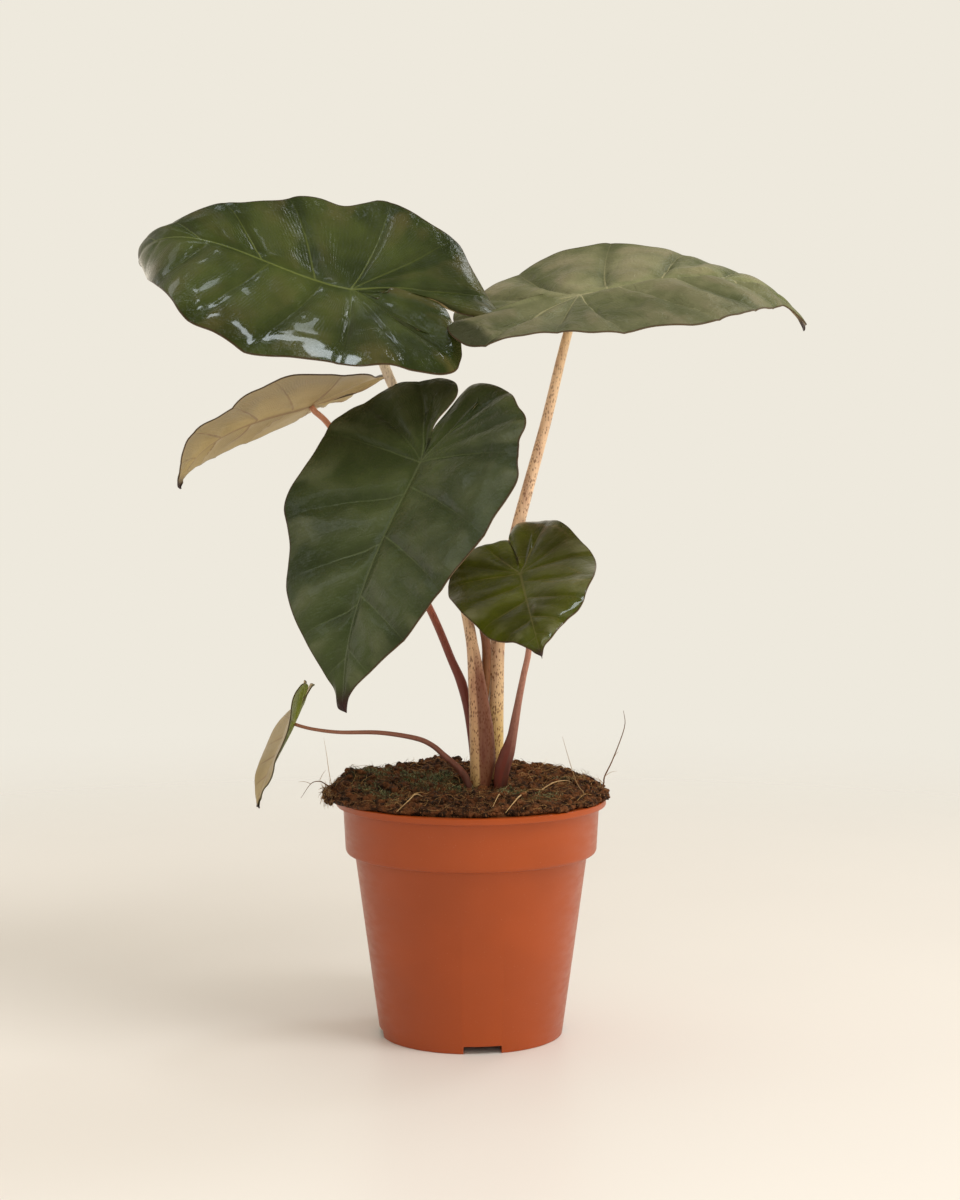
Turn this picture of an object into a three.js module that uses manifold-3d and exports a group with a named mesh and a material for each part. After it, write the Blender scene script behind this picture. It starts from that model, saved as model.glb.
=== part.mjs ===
// A potted alocasia: six arrow-shaped blades on bare leaf stalks that rise from one corm, in dark potting
// mix that stands a little above the rim of a tapered nursery pot.
// Millimetres, +Z up. The origin is the middle of the pot's underside, on the surface it stands on, and
// the front of the plant faces -Y.
import * as THREE from "three";
import { mergeVertices } from "three/addons/utils/BufferGeometryUtils.js";
import Module from "manifold-3d";

const wasm = await Module();
wasm.setup();

const DEGREE = Math.PI / 180;
// Clearance left wherever one piece sits in or on another
const CLEARANCE = 0.3;
// Flats round the pot and round the soil, alike so that the gap between them is even
const SECTORS = 56;
// Corners closer than this are one corner
const WELD = 1e-3;

// Pot: a 17 cm nursery container, 15 cm high
const POT_HEIGHT = 150;
const LIP_RADIUS = 85;
const LIP_DEPTH = 3.5;
const LIP_ROUND = 0.8;
const BAND_RADIUS = 80.5;
const BAND_FOOT_RADIUS = 79.6;
const BAND_FOOT_HEIGHT = 122;
const BAND_CHAMFER = 0.5;
const BODY_RADIUS = 75.2;
const BODY_HEIGHT = 119;
const FOOT_RADIUS = 58.6;
const WALL = 1.4;
const FLOOR_LIFT = 3;
const FLOOR_TOP = FLOOR_LIFT + WALL;
const PAD_RADIUS = 22;
const FOOT_RING_RADIUS = 51;
const FOOT_SLOPE = 2;
const FOOT_CHAMFER = 1;
const NOTCH_WIDTH = 24;
const NOTCH_HEIGHT = 5;
const NOTCH_TURN = 7.3 * DEGREE;
const NOTCHES = 4;
const NOTCH_MARGIN = 4;

// Potting mix: a root ball with steep ragged sides, higher at the back, spilling over the rim on the left
const SOIL_EDGE_RADIUS = 83.5;
const SOIL_SPILL_LEFT = 8.5;
const SOIL_SPILL_RIGHT = 3;
const SOIL_SPILL_TURN = 0.1;
const SOIL_RAGGED = 0.7;
const SOIL_EDGE_RISE = 2.6;
const SOIL_DOME = 8.5;
const SOIL_BACK_RISE = 6.5;
const SOIL_SQUARENESS = 12;
const SOIL_SHOULDER_LIFT = 0.4;
const SOIL_RINGS = [0.985, 0.95, 0.88, 0.78, 0.66, 0.52, 0.36, 0.18];
const SOIL_LUMPS = 130;
const SOIL_LUMP_SIZES = [3.5, 9];
const SOIL_LUMP_HEIGHTS = [-2.2, 2.4];
const SOIL_CRUMB = 1.3;
const SOIL_SEED = 7;

// Corm: the swollen base that every stalk stands on, buried in the mix
const CORM_CENTRE = [8.5, 0.5];
const CORM_TOP = 137.7;
const CORM_PROFILE = [[4, 96], [14, 99], [20, 108], [23, 120], [23, 131], [21.5, CORM_TOP]];
const CORM_SIDES = 28;
const CORM_LOBING = 0.03;

// Leaf stalks
const STALK_SIDES = 10;
const STALK_STEPS_PER_SPAN = 2;
const STALK_FOOT = CORM_TOP + CLEARANCE;
const STALK_NECK = 4.8;
const NECK_GAP = 0.1;

// Blades
const BLADE_THICKNESS = 1;
const RIB_DEPTH = 1.7;
const SIDE_VEIN_DEPTH = 0.5;
const SIDE_VEIN_EVERY = 3;
const LOBE_RIB_FADE = 0.8;
// Shares of the blade's length: how softly it folds at the midrib, and where its waves begin
const FOLD_SOFTNESS = 0.05;
const WAVE_START = 0.15;
const WAVE_POWER = 2.5;
const SPINE_STEPS = 24;
const BLADE_RINGS = [0, 0.28, 0.58, 0.84, 1];
// Half of an outline as [along, across] in attachment-to-tip lengths: from the foot of the notch
// between the lobes, round the lobe and on to the drip tip
const HALF_OUTLINE = [
  [-0.085, 0], [-0.14, 0.028], [-0.28, 0.05], [-0.43, 0.085], [-0.505, 0.155], [-0.49, 0.235],
  [-0.4, 0.325], [-0.22, 0.425], [0, 0.465], [0.22, 0.455], [0.42, 0.395], [0.6, 0.3],
  [0.76, 0.19], [0.88, 0.09], [0.945, 0.03], [1, 0],
];
const NOTCH_FOOT = 0.085;
const LOBE_REACH = 0.42;
// Half-width at which a blunt lobe keeps its reach: nearer the notch it is shorter, farther out longer
const LOBE_MIDDLE = 0.2;
// A blade's skeleton: a rib into each lobe and the midrib, and how many outline steps hang on each
const LOBE_RIB_END = [-0.36, 0.16];
const MIDRIB_END = 0.92;
const LOBE_STEPS = 6;
const MIDRIB_STEPS = 10;
const LOBE_TURN = 0.28;
const LOBE_ROOT = 0.53;

// The six leaves. Angles are in degrees and lengths in millimetres; width, lobe, spread, taper, blunt,
// fold and dome are shares, with left and right as seen along the midrib from above.
// Each stalk is a list of [x, y, z, radius, reach of the sheath wing] from the corm upwards.
const LEAVES = {
  upper_left: {
    colour: 0x2f3f1c,
    stalkColour: 0xc9a77c,
    roughness: 0.3,
    attachment: [-75.3, 1, 474.5],
    heading: 178,
    pitch: 12.6,
    roll: -42.7,
    length: 162.3,
    droop: -51.2,
    curl: 153.7,
    lobeBend: 18.8,
    twist: -14.3,
    sway: -0.04,
    wave: { height: 0.02, count: 7.9, phase: 1.31 },
    left: { width: 1.01, lobe: 0.93, spread: -0.04, taper: -0.27, blunt: 0.43, fold: -0.03, dome: 0.14 },
    right: { width: 1.07, lobe: 1.23, spread: -0.05, taper: 0.74, blunt: 0.08, fold: 0.04, dome: 0.12 },
    sheathTurn: -10,
    stalk: [
      [5.5, -6, STALK_FOOT, 4.6, 0], [5.4, -6, 150, 4.8, 0], [5, -6, 162, 5.2, 2.5],
      [4.6, -6, 176, 5.4, 5.5], [3.9, -5.5, 198, 5.1, 5], [2.6, -3, 224, 4.4, 2.4],
      [0.4, 2, 250, 3.5, 0.4], [-4.6, 9, 277, 3.4, 0], [-10.5, 14, 303, 3.3, 0],
      [-27.7, 20, 366, 3.3, 0], [-50, 20, 414, 3.3, 0], [-63, 14.5, 446, 3.1, 0],
    ],
  },
  upper_right: {
    colour: 0x5a5a3c,
    stalkColour: 0xc79a6e,
    roughness: 0.55,
    attachment: [69.9, 37, 472.9],
    heading: 17.8,
    pitch: 15.6,
    roll: 11.4,
    length: 177.7,
    droop: 18.4,
    curl: 52.2,
    lobeBend: 4.6,
    twist: 15.6,
    sway: -0.02,
    wave: { height: -0.012, count: 8.6, phase: 0.39 },
    left: { width: 1.01, lobe: 1, spread: 0.03, taper: 0.23, fold: -0.04, dome: 0.27 },
    right: { width: 1.03, lobe: 1.08, spread: 0.02, taper: -0.08, fold: -0.02, dome: -0.15 },
    sheathTurn: 0,
    stalk: [
      [15.5, 7, STALK_FOOT, 4.4, 0], [15.5, 7, 150, 4.6, 0], [15.6, 7, 162, 4.8, 0],
      [16, 7.5, 182, 4.8, 0], [16.2, 10, 214, 4.8, 0], [17, 12, 251, 4.8, 0],
      [21.8, 14, 277, 4.5, 0], [29, 18, 320, 4.1, 0], [47.5, 24, 389, 3.4, 0],
      [57.7, 29, 431, 3.1, 0], [64, 33, 454, 2.9, 0],
    ],
  },
  back_left: {
    colour: 0x7c6c48,
    stalkColour: 0x8a5a48,
    roughness: 0.6,
    attachment: [-105.8, 60, 403.2],
    heading: 204,
    pitch: -12.4,
    roll: 16.1,
    length: 115.8,
    droop: 11.9,
    curl: 52,
    lobeBend: -22.4,
    twist: 21.8,
    sway: 0.02,
    wave: { height: 0.011, count: 8.6, phase: -1.78 },
    left: { width: 1, lobe: 1.03, spread: 0.03, taper: 0.04, fold: 0.1, dome: -0.06 },
    right: { width: 1.02, lobe: 0.94, spread: 0.06, taper: -0.06, fold: 0.07, dome: -0.06 },
    sheathTurn: 0,
    stalk: [
      [2.5, 11, STALK_FOOT, 2.5, 0], [2.5, 11, 150, 2.5, 0], [2.3, 11, 162, 2.6, 0],
      [1.2, 12, 181, 2.6, 0], [-2, 14, 205, 2.7, 0.5], [-6.6, 17, 223, 2.8, 0.9],
      [-12.7, 20, 238, 2.6, 0], [-27.7, 28, 272, 2.5, 0], [-59.6, 45, 330, 2.2, 0],
      [-90, 58, 384, 2, 0],
    ],
  },
  front: {
    colour: 0x2b3a22,
    stalkColour: 0x6b3b33,
    roughness: 0.4,
    attachment: [-30.9, -38, 366.9],
    heading: -127.7,
    pitch: -48.4,
    roll: 6,
    length: 177.9,
    droop: 0,
    curl: 28.4,
    lobeBend: 12.9,
    twist: -2.5,
    sway: 0.12,
    wave: { height: 0.01, count: 8.5, phase: 1.85 },
    left: { width: 0.91, lobe: 0.68, spread: -0.06, taper: -0.25, fold: -0.05, dome: -0.1 },
    right: { width: 0.83, lobe: 0.71, spread: -0.08, taper: 0.01, fold: 0.45, dome: -0.07 },
    sheathTurn: 0,
    stalk: [
      [9, 16.5, STALK_FOOT, 2.9, 0], [9, 16.5, 150, 2.9, 0], [8.8, 15.5, 162, 3, 0],
      [8.3, 12, 185, 3, 0], [8.2, 8, 210, 2.9, 0], [9.6, 5.5, 232, 2.9, 0],
      [9.3, 3.5, 252, 2.9, 0], [4.4, -2, 272, 2.8, 0], [-8, -12, 305, 2.7, 0],
      [-22, -27, 345, 2.4, 0],
    ],
  },
  small_right: {
    colour: 0x39431a,
    stalkColour: 0x7a463a,
    roughness: 0.35,
    attachment: [30.5, -42.1, 297.9],
    heading: -83.7,
    pitch: -25.5,
    roll: 16.3,
    length: 97.6,
    droop: -13.7,
    curl: 29.9,
    lobeBend: -6.3,
    twist: 5,
    sway: 0.01,
    wave: { height: 0.028, count: 8.4, phase: 3.24 },
    left: { width: 1.02, lobe: 1.24, spread: -0.05, taper: -0.04, fold: 0.08, dome: -0.12 },
    right: { width: 1.01, lobe: 0.89, spread: -0.1, taper: 0.01, fold: 0.08, dome: 0 },
    sheathTurn: 190,
    stalk: [
      [18.5, -12, STALK_FOOT, 3, 0], [18.5, -12, 150, 3.2, 0], [19.5, -12.5, 162, 3.6, 1.5],
      [21.5, -13, 172, 3.4, 3], [24.5, -14, 182, 3, 3.2], [26.6, -15.5, 194, 2.7, 0.8],
      [29.6, -20, 214, 2.3, 0], [32.8, -26, 232, 2, 0], [36.2, -32, 251, 1.9, 0],
      [35.5, -36, 275, 1.8, 0],
    ],
  },
  tiny_left: {
    colour: 0x8a8050,
    stalkColour: 0xa5766a,
    roughness: 0.55,
    attachment: [-113.8, -9.9, 201],
    heading: 202,
    pitch: -62.3,
    roll: 22.1,
    length: 59.2,
    droop: -3.4,
    curl: 23.3,
    lobeBend: 3.1,
    twist: -23.8,
    sway: 0,
    wave: { height: 0.018, count: 10, phase: -0.29 },
    left: { width: 1.05, lobe: 1.01, spread: 0.04, taper: 0.02, fold: 0.17, dome: -0.22 },
    right: { width: 0.99, lobe: 0.95, spread: 0.02, taper: 0.15, fold: 0.3, dome: 0.01 },
    sheathTurn: 0,
    stalk: [
      [0, -14.5, STALK_FOOT, 2.4, 0], [0, -14.5, 150, 2.4, 0], [-1.5, -14.5, 160, 2.5, 0],
      [-4.5, -14.5, 168.5, 2.4, 0], [-10.5, -15, 175, 2.1, 0], [-17, -16, 181, 1.9, 0],
      [-24.7, -16, 187.5, 1.7, 0], [-35.4, -16, 192, 1.6, 0], [-57.9, -15, 195.3, 1.4, 0],
      [-83.3, -13, 195.3, 1.2, 0], [-100, -11, 197, 1.1, 0],
    ],
  },
};

// A repeatable stream of draws between 0 and 1
function seededRandom(seed) {
  let state = seed;
  return () => {
    state = (state + 0x6d2b79f5) | 0;
    let mixed = Math.imul(state ^ (state >>> 15), 1 | state);
    mixed = (mixed + Math.imul(mixed ^ (mixed >>> 7), 61 | mixed)) ^ mixed;
    return ((mixed ^ (mixed >>> 14)) >>> 0) / 4294967296;
  };
}

function geometryOf(points, faces) {
  const geometry = new THREE.BufferGeometry().setFromPoints(points);
  geometry.setIndex(faces);
  return geometry;
}

// A closed geometry as a solid that can be joined and cut
function solidOf(geometry) {
  const bare = new THREE.BufferGeometry();
  bare.setAttribute("position", geometry.getAttribute("position"));
  bare.setIndex(geometry.index);
  const merged = mergeVertices(bare, WELD);
  return new wasm.Manifold(new wasm.Mesh({
    numProp: 3,
    vertProperties: new Float32Array(merged.attributes.position.array),
    triVerts: new Uint32Array(merged.index.array),
  }));
}

function geometryOfSolid(solid) {
  const mesh = solid.getMesh();
  const geometry = new THREE.BufferGeometry();
  geometry.setAttribute("position", new THREE.BufferAttribute(mesh.vertProperties, 3));
  geometry.setIndex(new THREE.BufferAttribute(mesh.triVerts, 1));
  return geometry;
}

function centreOf(points) {
  const sum = new THREE.Vector3();
  points.forEach((point) => sum.add(point));
  return sum.divideScalar(points.length);
}

// A closed skin through rings of equally many points that run anticlockwise seen from the last ring,
// with a fan over each end
function skin(rings) {
  const count = rings[0].length;
  const points = rings.flat();
  const faces = [];
  for (let ring = 0; ring + 1 < rings.length; ring += 1) {
    for (let side = 0; side < count; side += 1) {
      const a = ring * count + side;
      const b = ring * count + ((side + 1) % count);
      faces.push(a, b, b + count, a, b + count, a + count);
    }
  }
  const lastRing = (rings.length - 1) * count;
  const firstCentre = points.push(centreOf(rings[0])) - 1;
  const lastCentre = points.push(centreOf(rings.at(-1))) - 1;
  for (let side = 0; side < count; side += 1) {
    const next = (side + 1) % count;
    faces.push(firstCentre, next, side, lastCentre, lastRing + side, lastRing + next);
  }
  return geometryOf(points, faces);
}

// A horizontal ring about the pot's axis; radius and height may be numbers or functions of the turn,
// which is counted from the front towards the right
function levelRing(radius, height) {
  const ring = [];
  for (let sector = 0; sector < SECTORS; sector += 1) {
    const turn = (sector / SECTORS) * 2 * Math.PI;
    const r = typeof radius === "function" ? radius(turn) : radius;
    const x = r * Math.sin(turn);
    const y = -r * Math.cos(turn);
    ring.push(new THREE.Vector3(x, y, typeof height === "function" ? height(x, y, turn) : height));
  }
  return ring;
}

// Pot: thin wall, rolled lip, stepped band, and a floor that stands on a centre pad and a foot ring
function potGeometry() {
  const bandInner = BAND_RADIUS - WALL;
  const profile = [
    [0, 0], [PAD_RADIUS, 0], [PAD_RADIUS + FOOT_SLOPE, FLOOR_LIFT],
    [FOOT_RING_RADIUS - FOOT_SLOPE, FLOOR_LIFT], [FOOT_RING_RADIUS, 0],
    [FOOT_RADIUS - FOOT_CHAMFER, 0], [FOOT_RADIUS, FOOT_CHAMFER], [BODY_RADIUS, BODY_HEIGHT],
    [BAND_FOOT_RADIUS - BAND_CHAMFER, BAND_FOOT_HEIGHT - BAND_CHAMFER],
    [BAND_FOOT_RADIUS, BAND_FOOT_HEIGHT],
    [BAND_RADIUS, POT_HEIGHT - LIP_DEPTH], [LIP_RADIUS - LIP_ROUND, POT_HEIGHT - LIP_DEPTH],
    [LIP_RADIUS, POT_HEIGHT - LIP_DEPTH + LIP_ROUND], [LIP_RADIUS, POT_HEIGHT - LIP_ROUND],
    [LIP_RADIUS - LIP_ROUND, POT_HEIGHT], [bandInner, POT_HEIGHT],
    [BAND_FOOT_RADIUS - WALL, BAND_FOOT_HEIGHT], [BODY_RADIUS - WALL, BODY_HEIGHT],
    [FOOT_RADIUS - WALL, FLOOR_TOP], [0, FLOOR_TOP],
  ].map(([radius, height]) => new THREE.Vector2(radius, height));
  const shell = new THREE.LatheGeometry(profile, SECTORS).rotateX(Math.PI / 2);
  let pot = solidOf(shell);
  for (let notch = 0; notch < NOTCHES; notch += 1) {
    const depth = FOOT_RADIUS - FOOT_RING_RADIUS + 2 * NOTCH_MARGIN;
    const cutter = new THREE.BoxGeometry(NOTCH_WIDTH, depth, 2 * NOTCH_HEIGHT);
    cutter.translate(0, depth / 2 - FOOT_RADIUS - NOTCH_MARGIN, 0);
    cutter.rotateZ(NOTCH_TURN + (notch * 2 * Math.PI) / NOTCHES);
    pot = pot.subtract(solidOf(cutter));
  }
  return geometryOfSolid(pot);
}

// A draw between the two ends of a range
function drawn(random, [low, high]) {
  return THREE.MathUtils.lerp(low, high, random());
}

// Mounds and hollows scattered over the potting mix
function soilLumps() {
  const random = seededRandom(SOIL_SEED);
  const lumps = [];
  for (let lump = 0; lump < SOIL_LUMPS; lump += 1) {
    const distance = SOIL_EDGE_RADIUS * Math.sqrt(random());
    const turn = 2 * Math.PI * random();
    lumps.push({
      x: distance * Math.cos(turn),
      y: distance * Math.sin(turn),
      size: drawn(random, SOIL_LUMP_SIZES),
      height: drawn(random, SOIL_LUMP_HEIGHTS),
    });
  }
  return lumps;
}

const LUMPS = soilLumps();

function soilEdge(turn) {
  const left = Math.max(0, -Math.sin(turn - SOIL_SPILL_TURN)) ** 4;
  const right = Math.max(0, Math.sin(turn)) ** 2;
  const ragged = SOIL_RAGGED * (Math.sin(11 * turn + 1) + Math.sin(19 * turn));
  return SOIL_EDGE_RADIUS + SOIL_SPILL_LEFT * left + SOIL_SPILL_RIGHT * right + ragged;
}

function soilHeight(x, y, turn) {
  const share = Math.hypot(x, y) / soilEdge(turn);
  const dome = 1 - share ** SOIL_SQUARENESS;
  const relief = LUMPS.reduce(
    (sum, lump) => sum + lump.height * Math.exp(-((x - lump.x) ** 2 + (y - lump.y) ** 2) / lump.size ** 2),
    0,
  );
  const base = SOIL_DOME + (SOIL_BACK_RISE * y) / SOIL_EDGE_RADIUS;
  return POT_HEIGHT + SOIL_EDGE_RISE + dome * (base + relief);
}

// Potting mix before the stalks' holes are cut: it fills the pot and stands over its rim
function soilSolid() {
  const wallGap = WALL + CLEARANCE;
  const underside = POT_HEIGHT + CLEARANCE;
  const rings = [
    levelRing(FOOT_RADIUS - wallGap, FLOOR_TOP + CLEARANCE),
    levelRing(BODY_RADIUS - wallGap, BODY_HEIGHT),
    levelRing(BAND_FOOT_RADIUS - wallGap, BAND_FOOT_HEIGHT + SOIL_SHOULDER_LIFT),
    levelRing(BAND_RADIUS - wallGap, underside),
    levelRing((turn) => soilEdge(turn) - 1, underside),
    levelRing(soilEdge, POT_HEIGHT + SOIL_EDGE_RISE),
    ...SOIL_RINGS.map((share) => levelRing((turn) => share * soilEdge(turn), soilHeight)),
  ];
  const random = seededRandom(SOIL_SEED + 1);
  rings.slice(-SOIL_RINGS.length).flat().forEach((point) => {
    point.z += SOIL_CRUMB * (random() - 0.5);
  });
  return solidOf(skin(rings));
}

// The corm, or the pocket that it sits in when given a clearance
function cormGeometry(clearance) {
  const rings = CORM_PROFILE.map(([radius, height], index) => {
    const lift = index === 0 ? -clearance : index === CORM_PROFILE.length - 1 ? clearance : 0;
    const ring = [];
    for (let side = 0; side < CORM_SIDES; side += 1) {
      const turn = (side / CORM_SIDES) * 2 * Math.PI;
      const r = (radius + clearance) * (1 + CORM_LOBING * Math.sin(3 * turn));
      const x = CORM_CENTRE[0] + r * Math.cos(turn);
      const y = CORM_CENTRE[1] + r * Math.sin(turn);
      ring.push(new THREE.Vector3(x, y, height + lift));
    }
    return ring;
  });
  return skin(rings);
}

// A point of the half outline or the skeleton, in the flat blade's millimetres
function flatPoint(leaf, side, along, across) {
  const behind = Math.max(-along - NOTCH_FOOT, 0);
  const blunt = 1 + (side.blunt ?? 0) * (across / LOBE_MIDDLE - 1);
  const reach = behind > 0 ? -NOTCH_FOOT - behind * side.lobe * blunt : along;
  const taper = 1 - side.taper * Math.max(along, 0);
  const spread = across > 0 ? side.spread * (behind / LOBE_REACH) ** 1.5 : 0;
  return [reach * leaf.length, (across * side.width * taper + spread) * leaf.length];
}

// The midrib's heading, position and drop at a share of the blade's length, by small straight steps
function spineAt(leaf, share) {
  let along = 0;
  let drop = 0;
  const heading = (s) =>
    (s >= 0 ? leaf.droop * s + leaf.curl * s ** 3 : leaf.lobeBend * s) * DEGREE;
  for (let step = 0; step < SPINE_STEPS; step += 1) {
    const angle = heading((share * (step + 0.5)) / SPINE_STEPS);
    along += (Math.cos(angle) * share) / SPINE_STEPS;
    drop += (Math.sin(angle) * share) / SPINE_STEPS;
  }
  return { angle: heading(share), along: along * leaf.length, drop: drop * leaf.length };
}

// The blade's own directions: along the midrib, to its left, and up from its face
function bladeAxes(leaf) {
  const heading = leaf.heading * DEGREE;
  const pitch = leaf.pitch * DEGREE;
  const roll = leaf.roll * DEGREE;
  const along = new THREE.Vector3(
    Math.cos(heading) * Math.cos(pitch), Math.sin(heading) * Math.cos(pitch), Math.sin(pitch),
  );
  const level = new THREE.Vector3(-Math.sin(heading), Math.cos(heading), 0);
  const up = along.clone().cross(level);
  const left = level.clone().multiplyScalar(Math.cos(roll)).addScaledVector(up, Math.sin(roll));
  const face = up.multiplyScalar(Math.cos(roll)).addScaledVector(level, -Math.sin(roll));
  return { along, left, face };
}

// Where a point of the flat blade lies once the blade is folded, domed, waved, bent and placed.
// rim is 0 on the skeleton and 1 on the outline, and turn counts once round the outline.
function bladePoint(leaf, axes, flat, rim, turn) {
  const [x, y] = flat;
  const side = y >= 0 ? leaf.left : leaf.right;
  const softness = FOLD_SOFTNESS * leaf.length;
  const fold = side.fold * (Math.hypot(y, softness) - softness);
  const dome = (side.dome * y * y) / leaf.length;
  const margin = Math.min(Math.abs(y) / (WAVE_START * leaf.length), 1) * rim ** WAVE_POWER;
  const wave = leaf.wave.height * leaf.length * Math.sin(leaf.wave.count * turn + leaf.wave.phase);
  const lift = fold + dome + wave * margin;
  const share = x / leaf.length;
  const spine = spineAt(leaf, share);
  const twist = leaf.twist * DEGREE * share;
  const across = y * Math.cos(twist) - lift * Math.sin(twist);
  const above = y * Math.sin(twist) + lift * Math.cos(twist);
  const sway = leaf.sway * leaf.length * share * Math.abs(share);
  return new THREE.Vector3(...leaf.attachment)
    .addScaledVector(axes.along, spine.along + above * Math.sin(spine.angle))
    .addScaledVector(axes.left, across + sway)
    .addScaledVector(axes.face, -spine.drop + above * Math.cos(spine.angle));
}

// The spokes of half a blade: each joins a place on the skeleton to a place on the outline
function halfSpokes() {
  const curve = new THREE.CatmullRomCurve3(
    HALF_OUTLINE.map(([along, across]) => new THREE.Vector3(along, across, 0)),
    false, "catmullrom", 0.5,
  );
  const spokes = [];
  const total = 2 * LOBE_STEPS + MIDRIB_STEPS;
  for (let step = 0; step <= total; step += 1) {
    const intoLobe = Math.min(step, 2 * LOBE_STEPS - step) / LOBE_STEPS;
    const alongMidrib = (step - 2 * LOBE_STEPS) / MIDRIB_STEPS;
    let turn = LOBE_ROOT + (1 - LOBE_ROOT) * alongMidrib;
    if (step <= LOBE_STEPS) turn = (LOBE_TURN * step) / LOBE_STEPS;
    else if (step <= 2 * LOBE_STEPS) {
      turn = LOBE_TURN + ((LOBE_ROOT - LOBE_TURN) * (step - LOBE_STEPS)) / LOBE_STEPS;
    }
    const onMidrib = step > 2 * LOBE_STEPS;
    const rim = curve.getPoint(turn);
    spokes.push({
      turn: turn * Math.PI,
      rim: [rim.x, rim.y],
      root: onMidrib ? [MIDRIB_END * alongMidrib, 0] : LOBE_RIB_END.map((value) => value * intoLobe),
      rib: RIB_DEPTH * (onMidrib ? 1 - alongMidrib : 1 - LOBE_RIB_FADE * intoLobe),
      sideVein: step % SIDE_VEIN_EVERY === 0 ? SIDE_VEIN_DEPTH : 0,
    });
  }
  return spokes;
}

// The blade's upper face as one sheet of triangles, with its thickness at each point
function bladeSheet(leaf) {
  const axes = bladeAxes(leaf);
  const half = halfSpokes();
  const round = [
    ...half.map((spoke) => ({ ...spoke, side: leaf.left, sign: 1 })),
    ...half.slice(1, -1).reverse().map((spoke) => ({
      ...spoke, side: leaf.right, sign: -1, turn: 2 * Math.PI - spoke.turn,
    })),
  ];
  const points = [];
  const thickness = [];
  round.forEach((spoke) => {
    const root = flatPoint(leaf, spoke.side, ...spoke.root);
    const rim = flatPoint(leaf, spoke.side, ...spoke.rim);
    BLADE_RINGS.forEach((ring) => {
      const flat = [
        root[0] + ring * (rim[0] - root[0]), spoke.sign * (root[1] + ring * (rim[1] - root[1])),
      ];
      points.push(bladePoint(leaf, axes, flat, ring, spoke.turn));
      const vein = ring === 1 ? 0 : spoke.sideVein * (1 - ring);
      thickness.push(BLADE_THICKNESS + (ring === 0 ? spoke.rib : vein));
    });
  });
  const faces = [];
  const stride = BLADE_RINGS.length;
  round.forEach((spoke, index) => {
    const next = (index + 1) % round.length;
    for (let ring = 0; ring + 1 < stride; ring += 1) {
      const a = index * stride + ring;
      const b = next * stride + ring;
      faces.push(a, b + 1, a + 1, a, b, b + 1);
    }
  });
  const sheet = geometryOf(points, faces);
  sheet.setAttribute("thickness", new THREE.Float32BufferAttribute(thickness, 1));
  return mergeVertices(sheet, WELD);
}

// A blade: the sheet, a copy of it set down along its normals, and a narrow wall round the edge
function bladeGeometry(leaf) {
  const sheet = bladeSheet(leaf);
  sheet.computeVertexNormals();
  const { position, normal, thickness } = sheet.attributes;
  const count = position.count;
  const points = [];
  for (let index = 0; index < count; index += 1) {
    points.push(new THREE.Vector3().fromBufferAttribute(position, index));
  }
  for (let index = 0; index < count; index += 1) {
    const down = new THREE.Vector3().fromBufferAttribute(normal, index);
    points.push(points[index].clone().addScaledVector(down, -thickness.getX(index)));
  }
  const faces = [];
  const edges = new Map();
  for (let corner = 0; corner < sheet.index.count; corner += 3) {
    const triangle = [0, 1, 2].map((step) => sheet.index.getX(corner + step));
    const [a, b, c] = triangle;
    if (a === b || b === c || c === a) continue;
    faces.push(a, b, c, a + count, c + count, b + count);
    [[a, b], [b, c], [c, a]].forEach(([from, to]) => edges.set(`${from} ${to}`, [from, to]));
  }
  edges.forEach(([from, to]) => {
    if (edges.has(`${to} ${from}`)) return;
    faces.push(from, from + count, to + count, from, to + count, to);
  });
  return geometryOf(points, faces);
}

// The stalk's route: its own points, then a neck that meets the blade's underside squarely
function stalkRoute(leaf) {
  const { face } = bladeAxes(leaf);
  const seat = BLADE_THICKNESS + RIB_DEPTH + CLEARANCE;
  const attachment = new THREE.Vector3(...leaf.attachment);
  const topRadius = leaf.stalk.at(-1)[3];
  const neck = [seat + STALK_NECK, seat + NECK_GAP].map((depth) => {
    const point = attachment.clone().addScaledVector(face, -depth);
    return [point.x, point.y, point.z, topRadius, 0];
  });
  return [...leaf.stalk, ...neck];
}

// A leaf stalk, or the hole that it stands in when given a clearance: a round section that carries a
// sheath wing on one side
function stalkGeometry(leaf, clearance) {
  const route = stalkRoute(leaf);
  const spans = route.length - 1;
  const curve = new THREE.CatmullRomCurve3(
    route.map(([x, y, z]) => new THREE.Vector3(x, y, z)), false, "catmullrom", 0.5,
  );
  const wingTurn = leaf.sheathTurn * DEGREE;
  const rings = [];
  const stations = spans * STALK_STEPS_PER_SPAN;
  for (let station = 0; station <= stations; station += 1) {
    const place = station / stations;
    const span = Math.min(Math.floor(place * spans), spans - 1);
    const between = place * spans - span;
    const radius = THREE.MathUtils.lerp(route[span][3], route[span + 1][3], between) + clearance;
    const wing = THREE.MathUtils.lerp(route[span][4], route[span + 1][4], between);
    const centre = curve.getPoint(place);
    const tangent = station === 0 ? new THREE.Vector3(0, 0, 1) : curve.getTangent(place);
    if (station === 0) centre.z -= clearance;
    const depthwise = new THREE.Vector3(0, 1, 0);
    depthwise.addScaledVector(tangent, -tangent.y).normalize();
    const sideways = depthwise.clone().cross(tangent);
    const ring = [];
    for (let side = 0; side < STALK_SIDES; side += 1) {
      const turn = (side / STALK_SIDES) * 2 * Math.PI;
      const reach = radius + wing * Math.max(0, Math.cos(turn - wingTurn)) ** 2;
      ring.push(centre.clone()
        .addScaledVector(sideways, reach * Math.cos(turn))
        .addScaledVector(depthwise, reach * Math.sin(turn)));
    }
    rings.push(ring);
  }
  return skin(rings);
}

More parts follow.
